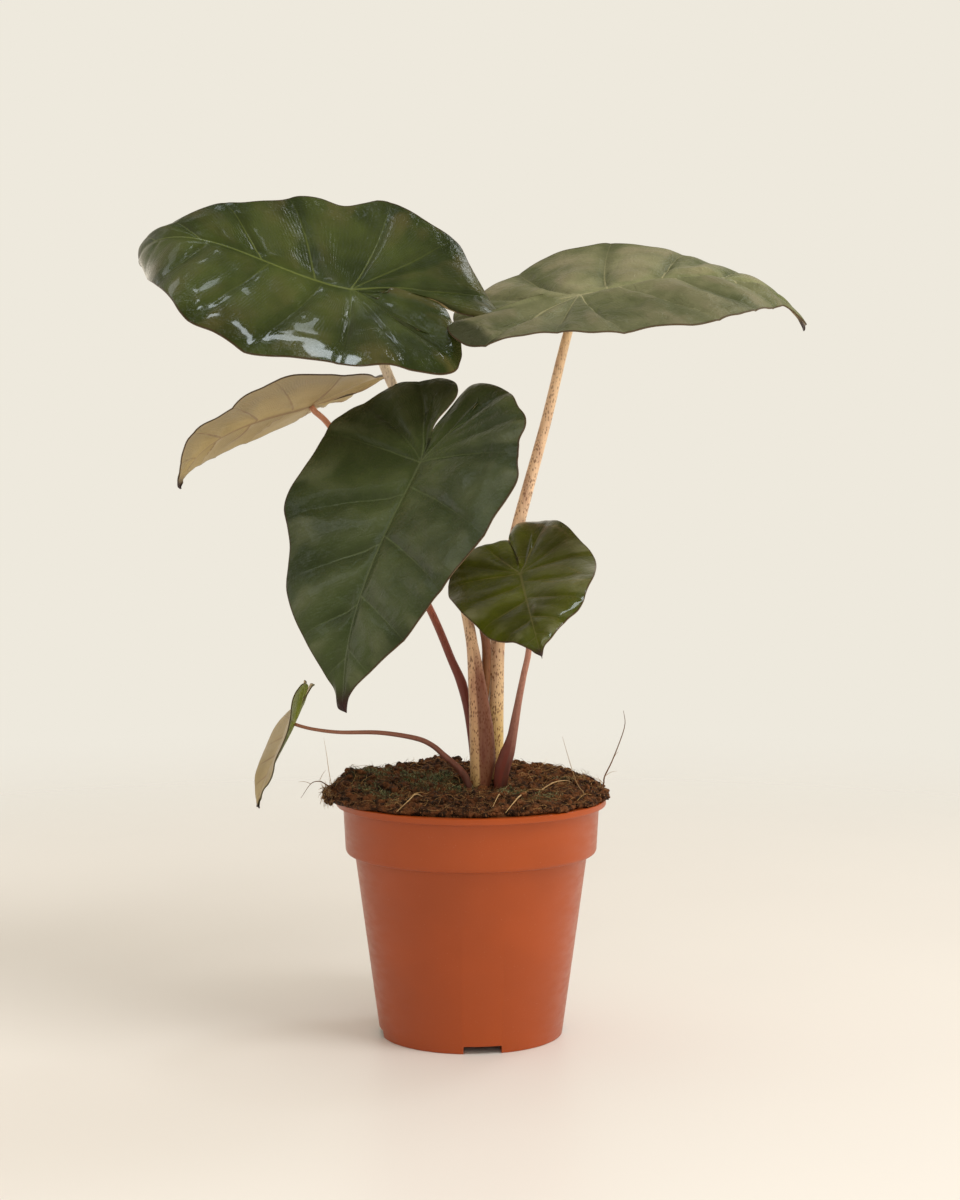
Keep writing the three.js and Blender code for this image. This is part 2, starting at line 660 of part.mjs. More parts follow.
// Potting mix with the corm's pocket and a plain hole for each stalk
function soilGeometry() {
  let soil = soilSolid().subtract(solidOf(cormGeometry(CLEARANCE)));
  Object.values(LEAVES).forEach((leaf) => {
    soil = soil.subtract(solidOf(stalkGeometry(leaf, CLEARANCE)));
  });
  return geometryOfSolid(soil);
}

function named(name, geometry, colour, roughness) {
  const material = new THREE.MeshStandardMaterial({ color: colour, roughness, metalness: 0 });
  const mesh = new THREE.Mesh(geometry, material);
  mesh.name = name;
  return mesh;
}

const group = new THREE.Group();
group.add(named("pot", potGeometry(), 0xa9552f, 0.45));
group.add(named("soil", soilGeometry(), 0x2e1d12, 0.95));
group.add(named("corm", cormGeometry(0), 0x6b4a30, 0.85));
Object.entries(LEAVES).forEach(([place, leaf]) => {
  group.add(named(`blade_${place}`, bladeGeometry(leaf), leaf.colour, leaf.roughness));
  group.add(named(`petiole_${place}`, stalkGeometry(leaf, 0), leaf.stalkColour, 0.5));
});

export default group;
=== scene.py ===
import itertools
import math
import random
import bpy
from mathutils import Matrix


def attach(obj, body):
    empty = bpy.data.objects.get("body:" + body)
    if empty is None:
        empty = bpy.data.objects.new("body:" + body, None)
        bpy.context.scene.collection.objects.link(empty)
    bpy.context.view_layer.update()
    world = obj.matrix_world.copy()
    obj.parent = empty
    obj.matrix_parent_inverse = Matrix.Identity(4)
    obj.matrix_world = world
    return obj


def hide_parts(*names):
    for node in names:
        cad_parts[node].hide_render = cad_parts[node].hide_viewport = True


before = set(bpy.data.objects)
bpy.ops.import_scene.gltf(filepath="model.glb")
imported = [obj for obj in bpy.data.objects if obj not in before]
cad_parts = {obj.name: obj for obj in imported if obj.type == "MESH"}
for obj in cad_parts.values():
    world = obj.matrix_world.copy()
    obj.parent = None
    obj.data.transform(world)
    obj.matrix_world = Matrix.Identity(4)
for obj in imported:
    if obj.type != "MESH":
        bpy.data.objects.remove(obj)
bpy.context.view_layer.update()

from types import SimpleNamespace

import bmesh
import bpy
import numpy as np
from mathutils import Matrix, Vector

bl_info = {
    "name": "Potted alocasia",
    "version": (1, 0, 0),
    "blender": (4, 5, 0),
    "location": "3D View > Sidebar > Alocasia",
    "description": "Models a potted alocasia leaf by leaf, with its stalks, potting mix, roots and pot",
    "category": "Add Mesh",
}

MM = 0.001
BODY = "root"

# How near each other points are made one, in metres, and the least length that counts as one
MERGE = 1e-6
BLADE_MERGE = 2e-6
LEAST = 1e-9

# Half of a blade's outline as [along, across] in attachment-to-tip lengths: from the foot of the notch
# between the lobes, round the lobe and on to the drip tip
HALF_OUTLINE = [
    (-0.085, 0), (-0.14, 0.028), (-0.28, 0.05), (-0.43, 0.085), (-0.505, 0.155), (-0.49, 0.235),
    (-0.4, 0.325), (-0.22, 0.425), (0, 0.465), (0.22, 0.455), (0.42, 0.395), (0.6, 0.3),
    (0.76, 0.19), (0.88, 0.09), (0.945, 0.03), (1, 0),
]
NOTCH_FOOT = 0.085
LOBE_REACH = 0.42
LOBE_MIDDLE = 0.2
LOBE_RIB_END = (-0.36, 0.16)
MIDRIB_END = 0.92
LOBE_TURN = 0.28
LOBE_ROOT = 0.53
FOLD_SOFTNESS = 0.05
WAVE_START = 0.15
WAVE_POWER = 2.5

# Main veins of half a blade, from the lobe to the tip: where each leaves the midrib as a share of the
# blade's length, its angle from the tip's direction in degrees, and how plainly it shows
VEINS = [
    (0, 196, 0), (0, 157, 1), (0, 130, 0.55), (0, 103, 1), (0.11, 73, 0.8), (0.33, 63, 1),
    (0.58, 57, 0.9), (0.78, 49, 0.6), (0.92, 36, 0.3), (1.05, 22, 0),
]
VEIN_SWEEP = 16

# The six leaves. Angles are in degrees and lengths in millimetres; width, lobe, spread, taper, blunt,
# fold and dome are shares, with left and right as seen along the midrib from above.
# Each stalk is a list of (x, y, z, radius, reach of the sheath wing) from the corm upwards.
STALK_FOOT = 138
LEAVES = {
    "upper_left": {
        "attachment": (-75.3, 1, 474.5), "heading": 178, "pitch": 12.6, "roll": -42.7,
        "length": 162.3, "droop": -51.2, "curl": 153.7, "lobe_bend": 18.8, "twist": -14.3,
        "sway": -0.04, "wave": (0.02, 7.9, 1.31),
        "left": {"width": 1.01, "lobe": 0.93, "spread": -0.04, "taper": -0.27, "blunt": 0.43,
                 "fold": -0.03, "dome": 0.14},
        "right": {"width": 1.07, "lobe": 1.23, "spread": -0.05, "taper": 0.74, "blunt": 0.08,
                  "fold": 0.04, "dome": 0.12},
        "sheath_turn": -10,
        "stalk": [
            (5.5, -6, STALK_FOOT, 4.6, 0), (5.4, -6, 150, 4.8, 0), (5, -6, 162, 5.2, 2.5),
            (4.6, -6, 176, 5.4, 5.5), (3.9, -5.5, 198, 5.1, 5), (2.6, -3, 224, 4.4, 2.4),
            (0.4, 2, 250, 3.5, 0.4), (-4.6, 9, 277, 3.4, 0), (-10.5, 14, 303, 3.3, 0),
            (-27.7, 20, 366, 3.3, 0), (-50, 20, 414, 3.3, 0), (-63, 14.5, 446, 3.1, 0),
        ],
    },
    "upper_right": {
        "attachment": (69.9, 37, 472.9), "heading": 17.8, "pitch": 15.6, "roll": 11.4,
        "length": 177.7, "droop": 18.4, "curl": 52.2, "lobe_bend": 4.6, "twist": 15.6,
        "sway": -0.02, "wave": (-0.012, 8.6, 0.39),
        "left": {"width": 1.01, "lobe": 1, "spread": 0.03, "taper": 0.23, "fold": -0.04, "dome": 0.27},
        "right": {"width": 1.03, "lobe": 1.08, "spread": 0.02, "taper": -0.08, "fold": -0.02,
                  "dome": -0.15},
        "sheath_turn": 0,
        "stalk": [
            (15.5, 7, STALK_FOOT, 4.4, 0), (15.5, 7, 150, 4.6, 0), (15.6, 7, 162, 4.8, 0),
            (16, 7.5, 182, 4.8, 0), (16.2, 10, 214, 4.8, 0), (17, 12, 251, 4.8, 0),
            (21.8, 14, 277, 4.5, 0), (29, 18, 320, 4.1, 0), (47.5, 24, 389, 3.4, 0),
            (57.7, 29, 431, 3.1, 0), (64, 33, 454, 2.9, 0),
        ],
    },
    "back_left": {
        "attachment": (-105.8, 60, 403.2), "heading": 204, "pitch": -12.4, "roll": 16.1,
        "length": 115.8, "droop": 11.9, "curl": 52, "lobe_bend": -22.4, "twist": 21.8,
        "sway": 0.02, "wave": (0.011, 8.6, -1.78),
        "left": {"width": 1, "lobe": 1.03, "spread": 0.03, "taper": 0.04, "fold": 0.1, "dome": -0.06},
        "right": {"width": 1.02, "lobe": 0.94, "spread": 0.06, "taper": -0.06, "fold": 0.07,
                  "dome": -0.06},
        "sheath_turn": 0,
        "stalk": [
            (2.5, 11, STALK_FOOT, 2.5, 0), (2.5, 11, 150, 2.5, 0), (2.3, 11, 162, 2.6, 0),
            (1.2, 12, 181, 2.6, 0), (-2, 14, 205, 2.7, 0.5), (-6.6, 17, 223, 2.8, 0.9),
            (-12.7, 20, 238, 2.6, 0), (-27.7, 28, 272, 2.5, 0), (-59.6, 45, 330, 2.2, 0),
            (-90, 58, 384, 2, 0),
        ],
    },
    "front": {
        "attachment": (-30.9, -38, 366.9), "heading": -127.7, "pitch": -48.4, "roll": 6,
        "length": 177.9, "droop": 0, "curl": 28.4, "lobe_bend": 12.9, "twist": -2.5,
        "sway": 0.12, "wave": (0.01, 8.5, 1.85),
        "left": {"width": 0.91, "lobe": 0.68, "spread": -0.06, "taper": -0.25, "fold": -0.05,
                 "dome": -0.1},
        "right": {"width": 0.83, "lobe": 0.71, "spread": -0.08, "taper": 0.01, "fold": 0.45,
                  "dome": -0.07},
        "sheath_turn": 0,
        "stalk": [
            (9, 16.5, STALK_FOOT, 2.9, 0), (9, 16.5, 150, 2.9, 0), (8.8, 15.5, 162, 3, 0),
            (8.3, 12, 185, 3, 0), (8.2, 8, 210, 2.9, 0), (9.6, 5.5, 232, 2.9, 0),
            (9.3, 3.5, 252, 2.9, 0), (4.4, -2, 272, 2.8, 0), (-8, -12, 305, 2.7, 0),
            (-22, -27, 345, 2.4, 0),
        ],
    },
    "small_right": {
        "attachment": (30.5, -42.1, 297.9), "heading": -83.7, "pitch": -25.5, "roll": 16.3,
        "length": 97.6, "droop": -13.7, "curl": 29.9, "lobe_bend": -6.3, "twist": 5,
        "sway": 0.01, "wave": (0.028, 8.4, 3.24),
        "left": {"width": 1.02, "lobe": 1.24, "spread": -0.05, "taper": -0.04, "fold": 0.08,
                 "dome": -0.12},
        "right": {"width": 1.01, "lobe": 0.89, "spread": -0.1, "taper": 0.01, "fold": 0.08, "dome": 0},
        "sheath_turn": 190,
        "stalk": [
            (18.5, -12, STALK_FOOT, 3, 0), (18.5, -12, 150, 3.2, 0), (19.5, -12.5, 162, 3.6, 1.5),
            (21.5, -13, 172, 3.4, 3), (24.5, -14, 182, 3, 3.2), (26.6, -15.5, 194, 2.7, 0.8),
            (29.6, -20, 214, 2.3, 0), (32.8, -26, 232, 2, 0), (36.2, -32, 251, 1.9, 0),
            (35.5, -36, 275, 1.8, 0),
        ],
    },
    "tiny_left": {
        "attachment": (-113.8, -9.9, 201), "heading": 202, "pitch": -62.3, "roll": 22.1,
        "length": 59.2, "droop": -3.4, "curl": 23.3, "lobe_bend": 3.1, "twist": -23.8,
        "sway": 0, "wave": (0.018, 10, -0.29),
        "left": {"width": 1.05, "lobe": 1.01, "spread": 0.04, "taper": 0.02, "fold": 0.17,
                 "dome": -0.22},
        "right": {"width": 0.99, "lobe": 0.95, "spread": 0.02, "taper": 0.15, "fold": 0.3,
                  "dome": 0.01},
        "sheath_turn": 0,
        "stalk": [
            (0, -14.5, STALK_FOOT, 2.4, 0), (0, -14.5, 150, 2.4, 0), (-1.5, -14.5, 160, 2.5, 0),
            (-4.5, -14.5, 168.5, 2.4, 0), (-10.5, -15, 175, 2.1, 0), (-17, -16, 181, 1.9, 0),
            (-24.7, -16, 187.5, 1.7, 0), (-35.4, -16, 192, 1.6, 0), (-57.9, -15, 195.3, 1.4, 0),
            (-83.3, -13, 195.3, 1.2, 0), (-100, -11, 197, 1.1, 0),
        ],
    },
}

# How far each blade's margin lies outside the plain outline, in millimetres, at even steps all round it
# from the foot of the notch by way of the left half and the tip. A program that looked for the blades'
# edges in the photograph printed these numbers; 58 of upper_left's and upper_right's were changed.
MARGINS = {
    "upper_left": [
        5, 8, 11, 14, 17, 20, 21.5, 22, 19, 13, 6.5, 1.8, -0.8, -1.3, -1.9, -1, 0.2, -0.9,
        -4.2, -6.2, -0.9, -2.8, -4.7, -6.3, -4, -1.4, -3.5, -2.5, 3.1, 3.8, 1.1, 0.4, 1, 2.3, 4, 5.4,
        5.1, 3.3, 2.2, 1.2, 1.5, 4.7, 7.9, 7.6, 7.6, 8.1, 6.7, 2.6, 0.2, -0.8, -0.8, 0.1, -1.2, -0, 1.5,
        6, 5.3, -0.5, 2.1, 5.7, 4.5, 2.8, 4.4, -1.6, -4.1, -4, -2, 1.5, 3.5, 2.5, 0, -2.5, -4,
        -4, -5.5, -7.5, -7.8, -6, -2.5, 1.5,
    ],
    "upper_right": [
        2.1, 3, 4, 4, 2, 0, -3, -7, -11, -14, -17, -19, -19.5, -17.5, -14.5, -11.3,
        -7.7, -4.3, -1.2, 1.6, 4.3, 3.7, 5.6, 6.7, 4.4, 5.3, 1.9, -0.6, 0.1, 0.6, -3.6, -4.1, -4, -4,
        -3.9, -3.1, -2, -1.1, -0.5, 0.3, 1.3, 1.9, 4, 5.9, 7, 1, -7.8, -7.6, -7.6, -6, -5, -2.5, 0.1, 2,
        2.1, 2.3, 1.9, -2.4, -5.7, -1.6, -0.3, -2.4, -4.5, -1.5, 0.5, 2, 2.5, 2, 1.5, 3, 6, 9,
        11.5, 12.5, 12.5, 12, 11, 9, 6, 3,
    ],
    "back_left": [
        0.7, 0.6, -0.4, -1.3, -1.3, -0.9, -1.2, -3.4, -6, -9.1, -11.9, -13.5, -14.8, -14.3, -12.7, -10,
        -7, -4.5, -1.7, 4, 5, 4.3, 2.5, 3.6, 6, 5.2, 1.7, 2.3, 0.2, -2.7, -1.9, 5.1, 6.6, 4.3, 4, 3.5,
        4, 6.9, 6.1, 3.9, -1, -2, -2.1, -1.8, -2.5, -4.1, -5.1, -5.9, -5.9, -4.1, -2.6, -1.8, -1.9,
        -3.4, -7.2, -8.9, -8.8, -6.6, -4.6, -2.4, -0.2, 0.3, 0.9, 0.5, 0.5, 0.2, -0, 0.2, 0, 0.1, -0.3,
        -0.2, -0, 0.1, 0.7, 0.1, -0, -0.3, -0.7, 0.1,
    ],
    "front": [
        5, 5.6, 6.9, 8.4, 9.1, 8.3, 7.5, 6.4, 6.2, 5.7, 3, 1.4, 1.4, 1.7, 1.5, 1.3, 0.5, -0.9, 0, -1.3,
        -5.9, -3.9, 1.1, -1.3, -4, -3.1, -2.7, -2.7, -2.4, -2, -1.4, -0.5, -1.4, -2.5, -2.3, -2.3, -2.2,
        -1.9, -1.8, -1.6, -0, 3.7, 3.1, 1.3, -0.1, -0.2, -0.4, -0, 0.9, 2.6, 3.8, 4, 1.1, -0.9, 0.7,
        4.2, 3.4, 0.7, 0.6, 2.5, 4.8, 3.8, 2.8, 4.4, 5.1, 2.5, 2, 3.4, 2.9, 1.5, -0.2, -1.1, -1.7, -2,
        -2.2, -2.7, -2.1, -0.5, 1.5, 4,
    ],
    "small_right": [
        0.3, 0.8, 1.4, 1.9, 2.8, 3.7, 5, 5.7, 4.9, 3.7, 3.5, 3.6, 4.1, 3.5, 3.5, 2.9, 3.2, 2.1, 0.1,
        -0.9, 0.2, 0.5, -0.1, -0.7, -0.9, -0.6, -0.3, -0.7, -0.7, -0.2, -1.1, -3.7, -3.8, -2.5, -1.4,
        -1.2, -2.1, -1.9, -1, -0.6, -0.5, -0.7, -0.4, -0.1, -0.8, -1, -1.1, -1.5, -1, 0.1, 0.4, -0.7,
        -2, -2.1, -1.8, -2.1, -2.1, -1.4, -0.3, 0, 0.1, 0.8, 1, 0.5, -0.1, 0.3, 0.8, 1.3, 2.4, 2.9, 2.8,
        2.2, 1.8, 2.2, 2.9, 3.2, 3.5, 3.2, 3, 2.2,
    ],
    "tiny_left": [
        -3.5, -3.5, -3.5, -3.5, -3.5, -2.6, -1.2, -1.1, -0.7, -3.5, -3.5, -3.5, -3.5, -3.5, -3.5, -2.4,
        -1.1, -0.7, 0.4, 0.9, 0.4, -0.2, 0.1, 1.4, 2.3, 2.5, 1.9, 0.6, -1.2, -1.9, -2.3, -2.8, -3.1,
        -3.5, -3.5, -3.5, -3.5, -3.5, -3.5, -3.5, -2.3, -1.1, -0.4, 0.1, 0.3, 0.4, 1.4, 1.6, 0.9, 0.4,
        -0.4, -0.8, -0.2, 1, 2.5, 3.3, 3.5, 3.5, 3.5, 3.5, 3.5, 3.5, 3.5, 3.5, 3.5, 3.5, 1.8, 0.2, -0.4,
        -0.5, 0.1, 2.3, 3.5, 3.4, 2.6, 1.1, -0.5, -1.9, -3.1, -3.5,
    ],
}

# How far each margin turns down, and how far its left and right lobes lie above or below each other at
# the notch, in millimetres
HEMS = {
    "upper_left": (2.6, 1.3, -1.1), "upper_right": (1.2, -1.5, 7), "back_left": (0.8, 0.6, -0.6),
    "front": (2, 0.3, -0.3), "small_right": (1.5, 1.2, -0.9), "tiny_left": (0.4, 0, 0),
}

# How each blade is finished.
# slot is its slot in the record, reversed says that its upper face has the underside's material, columns
# and rows are those of half its mesh, quilt is the height of its quilting in millimetres, and ripple that
# of the fine folds beside the veins of its left and right half.
# deep and light are the two colours of its mottling, high is the colour of the painted sheen on its crests
# and vein that of its veins. crest is how plainly the painted sheen on the crests and the painted shade in
# the hollows show, spread the painted sheen's share away from the margin, feather and lines how plainly the
# fine and the main veins show, left_lines the main veins' share on the left half, painted_vein_shade the
# painted shade beside the veins, painted_lobe_shade the painted shade on the end of the right lobe, and
# painted_right_shade the painted shade on the whole right half.
# rough, coat and shine are its gloss; off the glossy rim of the left half, dull makes it rougher and
# inner_coat is the share of the coat. crinkle and pucker are fine relief at the rim and all over.
BLADE_LOOKS = {
    "upper_left": {
        "slot": "blade_gloss", "columns": 210, "rows": 64, "quilt": 2.3, "ripple": (0.05, 0.2),
        "feather": 0.14, "deep": "252e10", "light": "394216", "high": "59512f", "crest": 0.5,
        "spread": 0.3,
        "vein": "747e3e", "lines": 0.42, "rough": 0.2, "dull": 0.12, "coat": 0.75, "inner_coat": 0.16,
        "crinkle": 3, "pucker": 1.2, "shine": 0.3, "left_lines": 0.3, "painted_vein_shade": 0.16,
    },
    "upper_right": {
        "slot": "blade_matte", "columns": 210, "rows": 64, "quilt": 4.2, "ripple": (0.3, 0.15),
        "feather": 0.14, "deep": "4e5434", "light": "757556", "high": "877f66", "crest": 0.62,
        "spread": 0.8,
        "vein": "a09b78", "lines": 0.8, "rough": 0.42, "dull": 0, "coat": 0, "inner_coat": 1,
        "crinkle": 1, "pucker": 4, "shine": 0.12, "left_lines": 0.9, "painted_vein_shade": 0.2, "painted_lobe_shade": 0.9,
        "painted_right_shade": 0.25,
    },
    "back_left": {
        "slot": "blade_bronze", "columns": 140, "rows": 44, "quilt": 2.2, "ripple": (0.2, 0.2),
        "feather": 0.2, "deep": "303a23", "light": "434d2e", "high": "55583a", "crest": 0.5,
        "spread": 0.5,
        "vein": "7d7c56", "lines": 0.5, "rough": 0.4, "dull": 0, "coat": 0, "inner_coat": 1,
        "crinkle": 1, "pucker": 1, "shine": 0.4, "left_lines": 1, "painted_vein_shade": 0.2,
    },
    "front": {
        "slot": "blade_satin", "columns": 210, "rows": 64, "quilt": 2.4, "ripple": (0.08, 0.08),
        "feather": 0.09, "deep": "2a3319", "light": "384122", "high": "666a4e", "crest": 0.42,
        "spread": 0.2,
        "vein": "5f6a46", "lines": 0.4, "rough": 0.3, "dull": 0, "coat": 0.1, "inner_coat": 1,
        "crinkle": 2.6, "pucker": 3, "shine": 0.22, "left_lines": 1, "painted_vein_shade": 0.15,
    },
    "small_right": {
        "slot": "blade_gloss", "columns": 130, "rows": 44, "quilt": 1.1, "ripple": (0.1, 0.1),
        "feather": 0.12, "deep": "2a2e06", "light": "424808", "high": "8e8e72", "crest": 0.4,
        "spread": 0.05,
        "vein": "6a6340", "lines": 0.4, "rough": 0.3, "dull": 0.1, "coat": 0.6, "inner_coat": 0.12,
        "crinkle": 1.6, "pucker": 1.5, "shine": 0.2, "left_lines": 1, "painted_vein_shade": 0.15,
    },
    "tiny_left": {
        "slot": "blade_bronze", "reversed": True, "columns": 90, "rows": 30, "quilt": 0.4,
        "ripple": (0.1, 0.1), "feather": 0.2, "deep": "465020", "light": "6b742e", "high": "70793a",
        "crest": 0.5, "spread": 0.5, "vein": "8a8a50", "lines": 0.5, "rough": 0.4, "dull": 0, "coat": 0,
        "inner_coat": 1, "crinkle": 1, "pucker": 1, "shine": 0.4, "left_lines": 1, "painted_vein_shade": 0.2,
    },
}

# How each stalk is coloured from the corm to the blade: (share of the way up, colour), and how strongly
# it is speckled
STALK_LOOKS = {
    # upper_left's stalk is pale cream towards the blade; its top stops are paler still, painted light where
    # the blade shades its top
    "upper_left": {"slot": "petiole_pale", "speckle": 0.9, "stops": [
        (0, "85693a"), (0.1, "a08248"), (0.2, "c2a070"), (0.4, "d6aa86"), (0.7, "f4dcc0"),
        (1, "fff4e2")]},
    "upper_right": {"slot": "petiole_pale", "speckle": 1, "stops": [
        (0, "7d5a2c"), (0.12, "ac8c50"), (0.3, "ccac70"), (0.42, "dcba98"), (0.7, "ecc8a8"),
        (1, "f0d2aa")]},
    "back_left": {"slot": "petiole_maroon", "speckle": 0.15, "stops": [
        (0, "5a2a24"), (0.2, "6a2f2c"), (0.6, "7d413a"), (0.8, "b06a52"), (1, "c98f72")]},
    "front": {"slot": "petiole_maroon", "speckle": 0.7, "stops": [
        (0, "7a5a30"), (0.3, "8a6434"), (0.5, "7d5230"), (0.75, "6d3c34"), (1, "7a5040")]},
    "small_right": {"slot": "petiole_maroon", "speckle": 0.35, "stops": [
        (0, "50341c"), (0.2, "43221a"), (0.34, "56302a"), (0.5, "86584c"), (0.8, "b88270"),
        (1, "b58468")]},
    "tiny_left": {"slot": "petiole_maroon", "speckle": 0.3, "stops": [
        (0, "38201a"), (0.25, "543026"), (0.6, "7d5043"), (1, "a27058")]},
}

# Loose roots that stand out of the mix, as (x, y, z) in millimetres from the mix outwards, the radius of
# each and its tint from dark to pale
LOOSE_ROOTS = [
    [(82, -8, 158), (84.3, -8, 161.5), (85, -9, 166.7), (90.2, -8, 177.5), (97.5, -7, 197.7),
     (96.8, -8, 208.5)],
    [(70, -30, 156), (70.7, -31, 159.4), (66.7, -30, 164.9), (62.1, -31, 178.2), (57.3, -30, 194.7)],
    [(-89, 0, 158), (-90.9, 0, 168.2), (-92.4, 1, 179), (-94.1, 0, 189.9)],
    [(-86, -5, 157), (-93.1, -5, 161.1), (-96.7, -6, 162.9), (-102.2, -5, 161.1), (-108.4, -6, 152.2)],
    [(-30, -44, 159), (-34, -52, 162), (-38, -64, 160), (-45, -76, 155)],
    [(18, -50, 161), (17, -60, 162.5), (12.4, -77, 156)],
    [(31, -50, 161), (28, -66, 161), (21.1, -80, 155)],
    [(44, -30, 161), (52, -22, 164.5), (60, -10, 164), (66, -2, 161)],
]

# Moss on the mix: (x, y, reach) in millimetres
MOSS_PATCHES = [
    (-62, 4, 15), (-46, 20, 13), (-30, -12, 15), (-24, 12, 13), (-52, -38, 11), (-38, 2, 13),
    (-14, 4, 10), (-10, -24, 9), (17, -24, 11), (31, -30, 12), (44, -42, 10), (60, 10, 7),
    (-66, -22, 8),
]

ROOT_RADII = [0.55, 0.34, 0.22, 0.42, 0.45, 0.4, 0.42, 0.4]
ROOT_TINTS = [0.05, 0.4, 0.8, 0.1, 0.9, 0.85, 0.95, 0.7]
ROOTLET_PARENTS = (0, 0, 0, 3, 3, 1)
ROOTLET_RADIUS = 0.16
ROOTLET_TINT = 0.4


def from_hex(code):
    """A hexadecimal screen colour as linear red, green and blue."""
    shares = [int(code[place:place + 2], 16) / 255 for place in (0, 2, 4)]
    return tuple(((s + 0.055) / 1.055) ** 2.4 if s > 0.04045 else s / 12.92 for s in shares)


def length_property(name, description, default):
    return bpy.props.FloatProperty(
        name=name, description=description, default=default, min=0, subtype="DISTANCE", unit="LENGTH",
        precision=4,
    )


def colour_property(name, description, code):
    return bpy.props.FloatVectorProperty(
        name=name, description=description, default=from_hex(code), size=3, min=0, max=1,
        subtype="COLOR",
    )


class AlocasiaPotSettings(bpy.types.PropertyGroup):
    height: length_property("Height", "From the floor to the top of the lip", 0.152)
    lip_radius: length_property("Lip radius", "Radius over the lip", 0.0862)
    lip_depth: length_property("Lip depth", "How deep the lip is", 0.004)
    band_radius: length_property("Band radius", "Radius of the band under the lip", 0.0818)
    band_foot: length_property("Band foot", "Height at which the band ends", 0.122)
    body_radius: length_property("Body radius", "Radius of the body under the band", 0.0744)
    foot_radius: length_property("Foot radius", "Radius of the body at the floor", 0.0586)
    wall: length_property("Wall", "Thickness of the wall", 0.0014)
    edge_round: length_property("Edge rounding", "Rounding of the moulded edges", 0.0006)
    notch_width: length_property("Notch width", "Width of a drain notch", 0.024)
    notch_height: length_property("Notch height", "Height of a drain notch", 0.005)
    colour: colour_property("Plastic", "Colour of the pot", "9e4414")


class AlocasiaMixSettings(bpy.types.PropertyGroup):
    dome: length_property("Dome", "Rise of the mix over the lip at its middle", 0.0067)
    back_rise: length_property("Back rise", "How much higher the back stands", 0.0065)
    clods: bpy.props.IntProperty(name="Clods", description="Loose crumbs on the mix", default=2000)
    fibres: bpy.props.IntProperty(name="Fibres", description="Fibres on the mix", default=1300)
    tufts: bpy.props.IntProperty(name="Moss tufts", description="Tufts of moss", default=3200)
    seed: bpy.props.IntProperty(name="Seed", description="Chooses the scatter", default=11)
    # The dark colour is partly the mix's own dark brown and partly painted shade for its hollows, laid in
    # noise patches
    dark: colour_property("Dark mix", "Colour in the hollows", "25160d")
    warm: colour_property("Warm mix", "Colour of the coir on top", "946640")
    fibre: colour_property("Fibre", "Colour of the palest fibres", "c39a63")


class AlocasiaBladeSettings(bpy.types.PropertyGroup):
    thickness: length_property("Thickness", "Thickness of the blades", 0.0009)
    rib_depth: length_property("Rib depth", "Depth of the midrib under the blade", 0.0017)
    side_rib_depth: length_property("Side rib depth", "Depth of the side veins beneath", 0.0006)
    underside: colour_property("Underside", "Colour of the blades beneath", "a29068")
    margin: colour_property("Margin", "Colour of the blades' thin edge", "3a2418")
    tip: colour_property("Drip tip", "Colour of the drip tips", "2c1717")


class AlocasiaStalkSettings(bpy.types.PropertyGroup):
    speckle: colour_property("Speckles", "Colour of the stalks' speckles", "5e2c12")
    blush: colour_property("Blush", "Colour of the rosy streaks", "8c5850")


class AlocasiaStageSettings(bpy.types.PropertyGroup):
    floor: colour_property("Floor", "Colour of the floor", "e5e2e0")
    backdrop: colour_property("Backdrop", "Colour behind the plant", "eee9dd")
    glow: colour_property("Glow", "Colour of the light all round", "f0e6d4")
    surround: bpy.props.FloatProperty(name="Surround", description="Strength of the light all round",
                                      default=1.0, min=0)
    key: bpy.props.FloatProperty(name="Key", description="Power of the softbox at the front right",
                                 default=22, min=0, subtype="POWER", unit="POWER")
    back: bpy.props.FloatProperty(name="Back", description="Power of the softbox at the back right",
                                  default=5, min=0, subtype="POWER", unit="POWER")
    side: bpy.props.FloatProperty(name="Side", description="Power of the panel on the left",
                                  default=5, min=0, subtype="POWER", unit="POWER")
    front: bpy.props.FloatProperty(name="Front", description="Power of the broad light in front",
                                   default=10, min=0, subtype="POWER", unit="POWER")


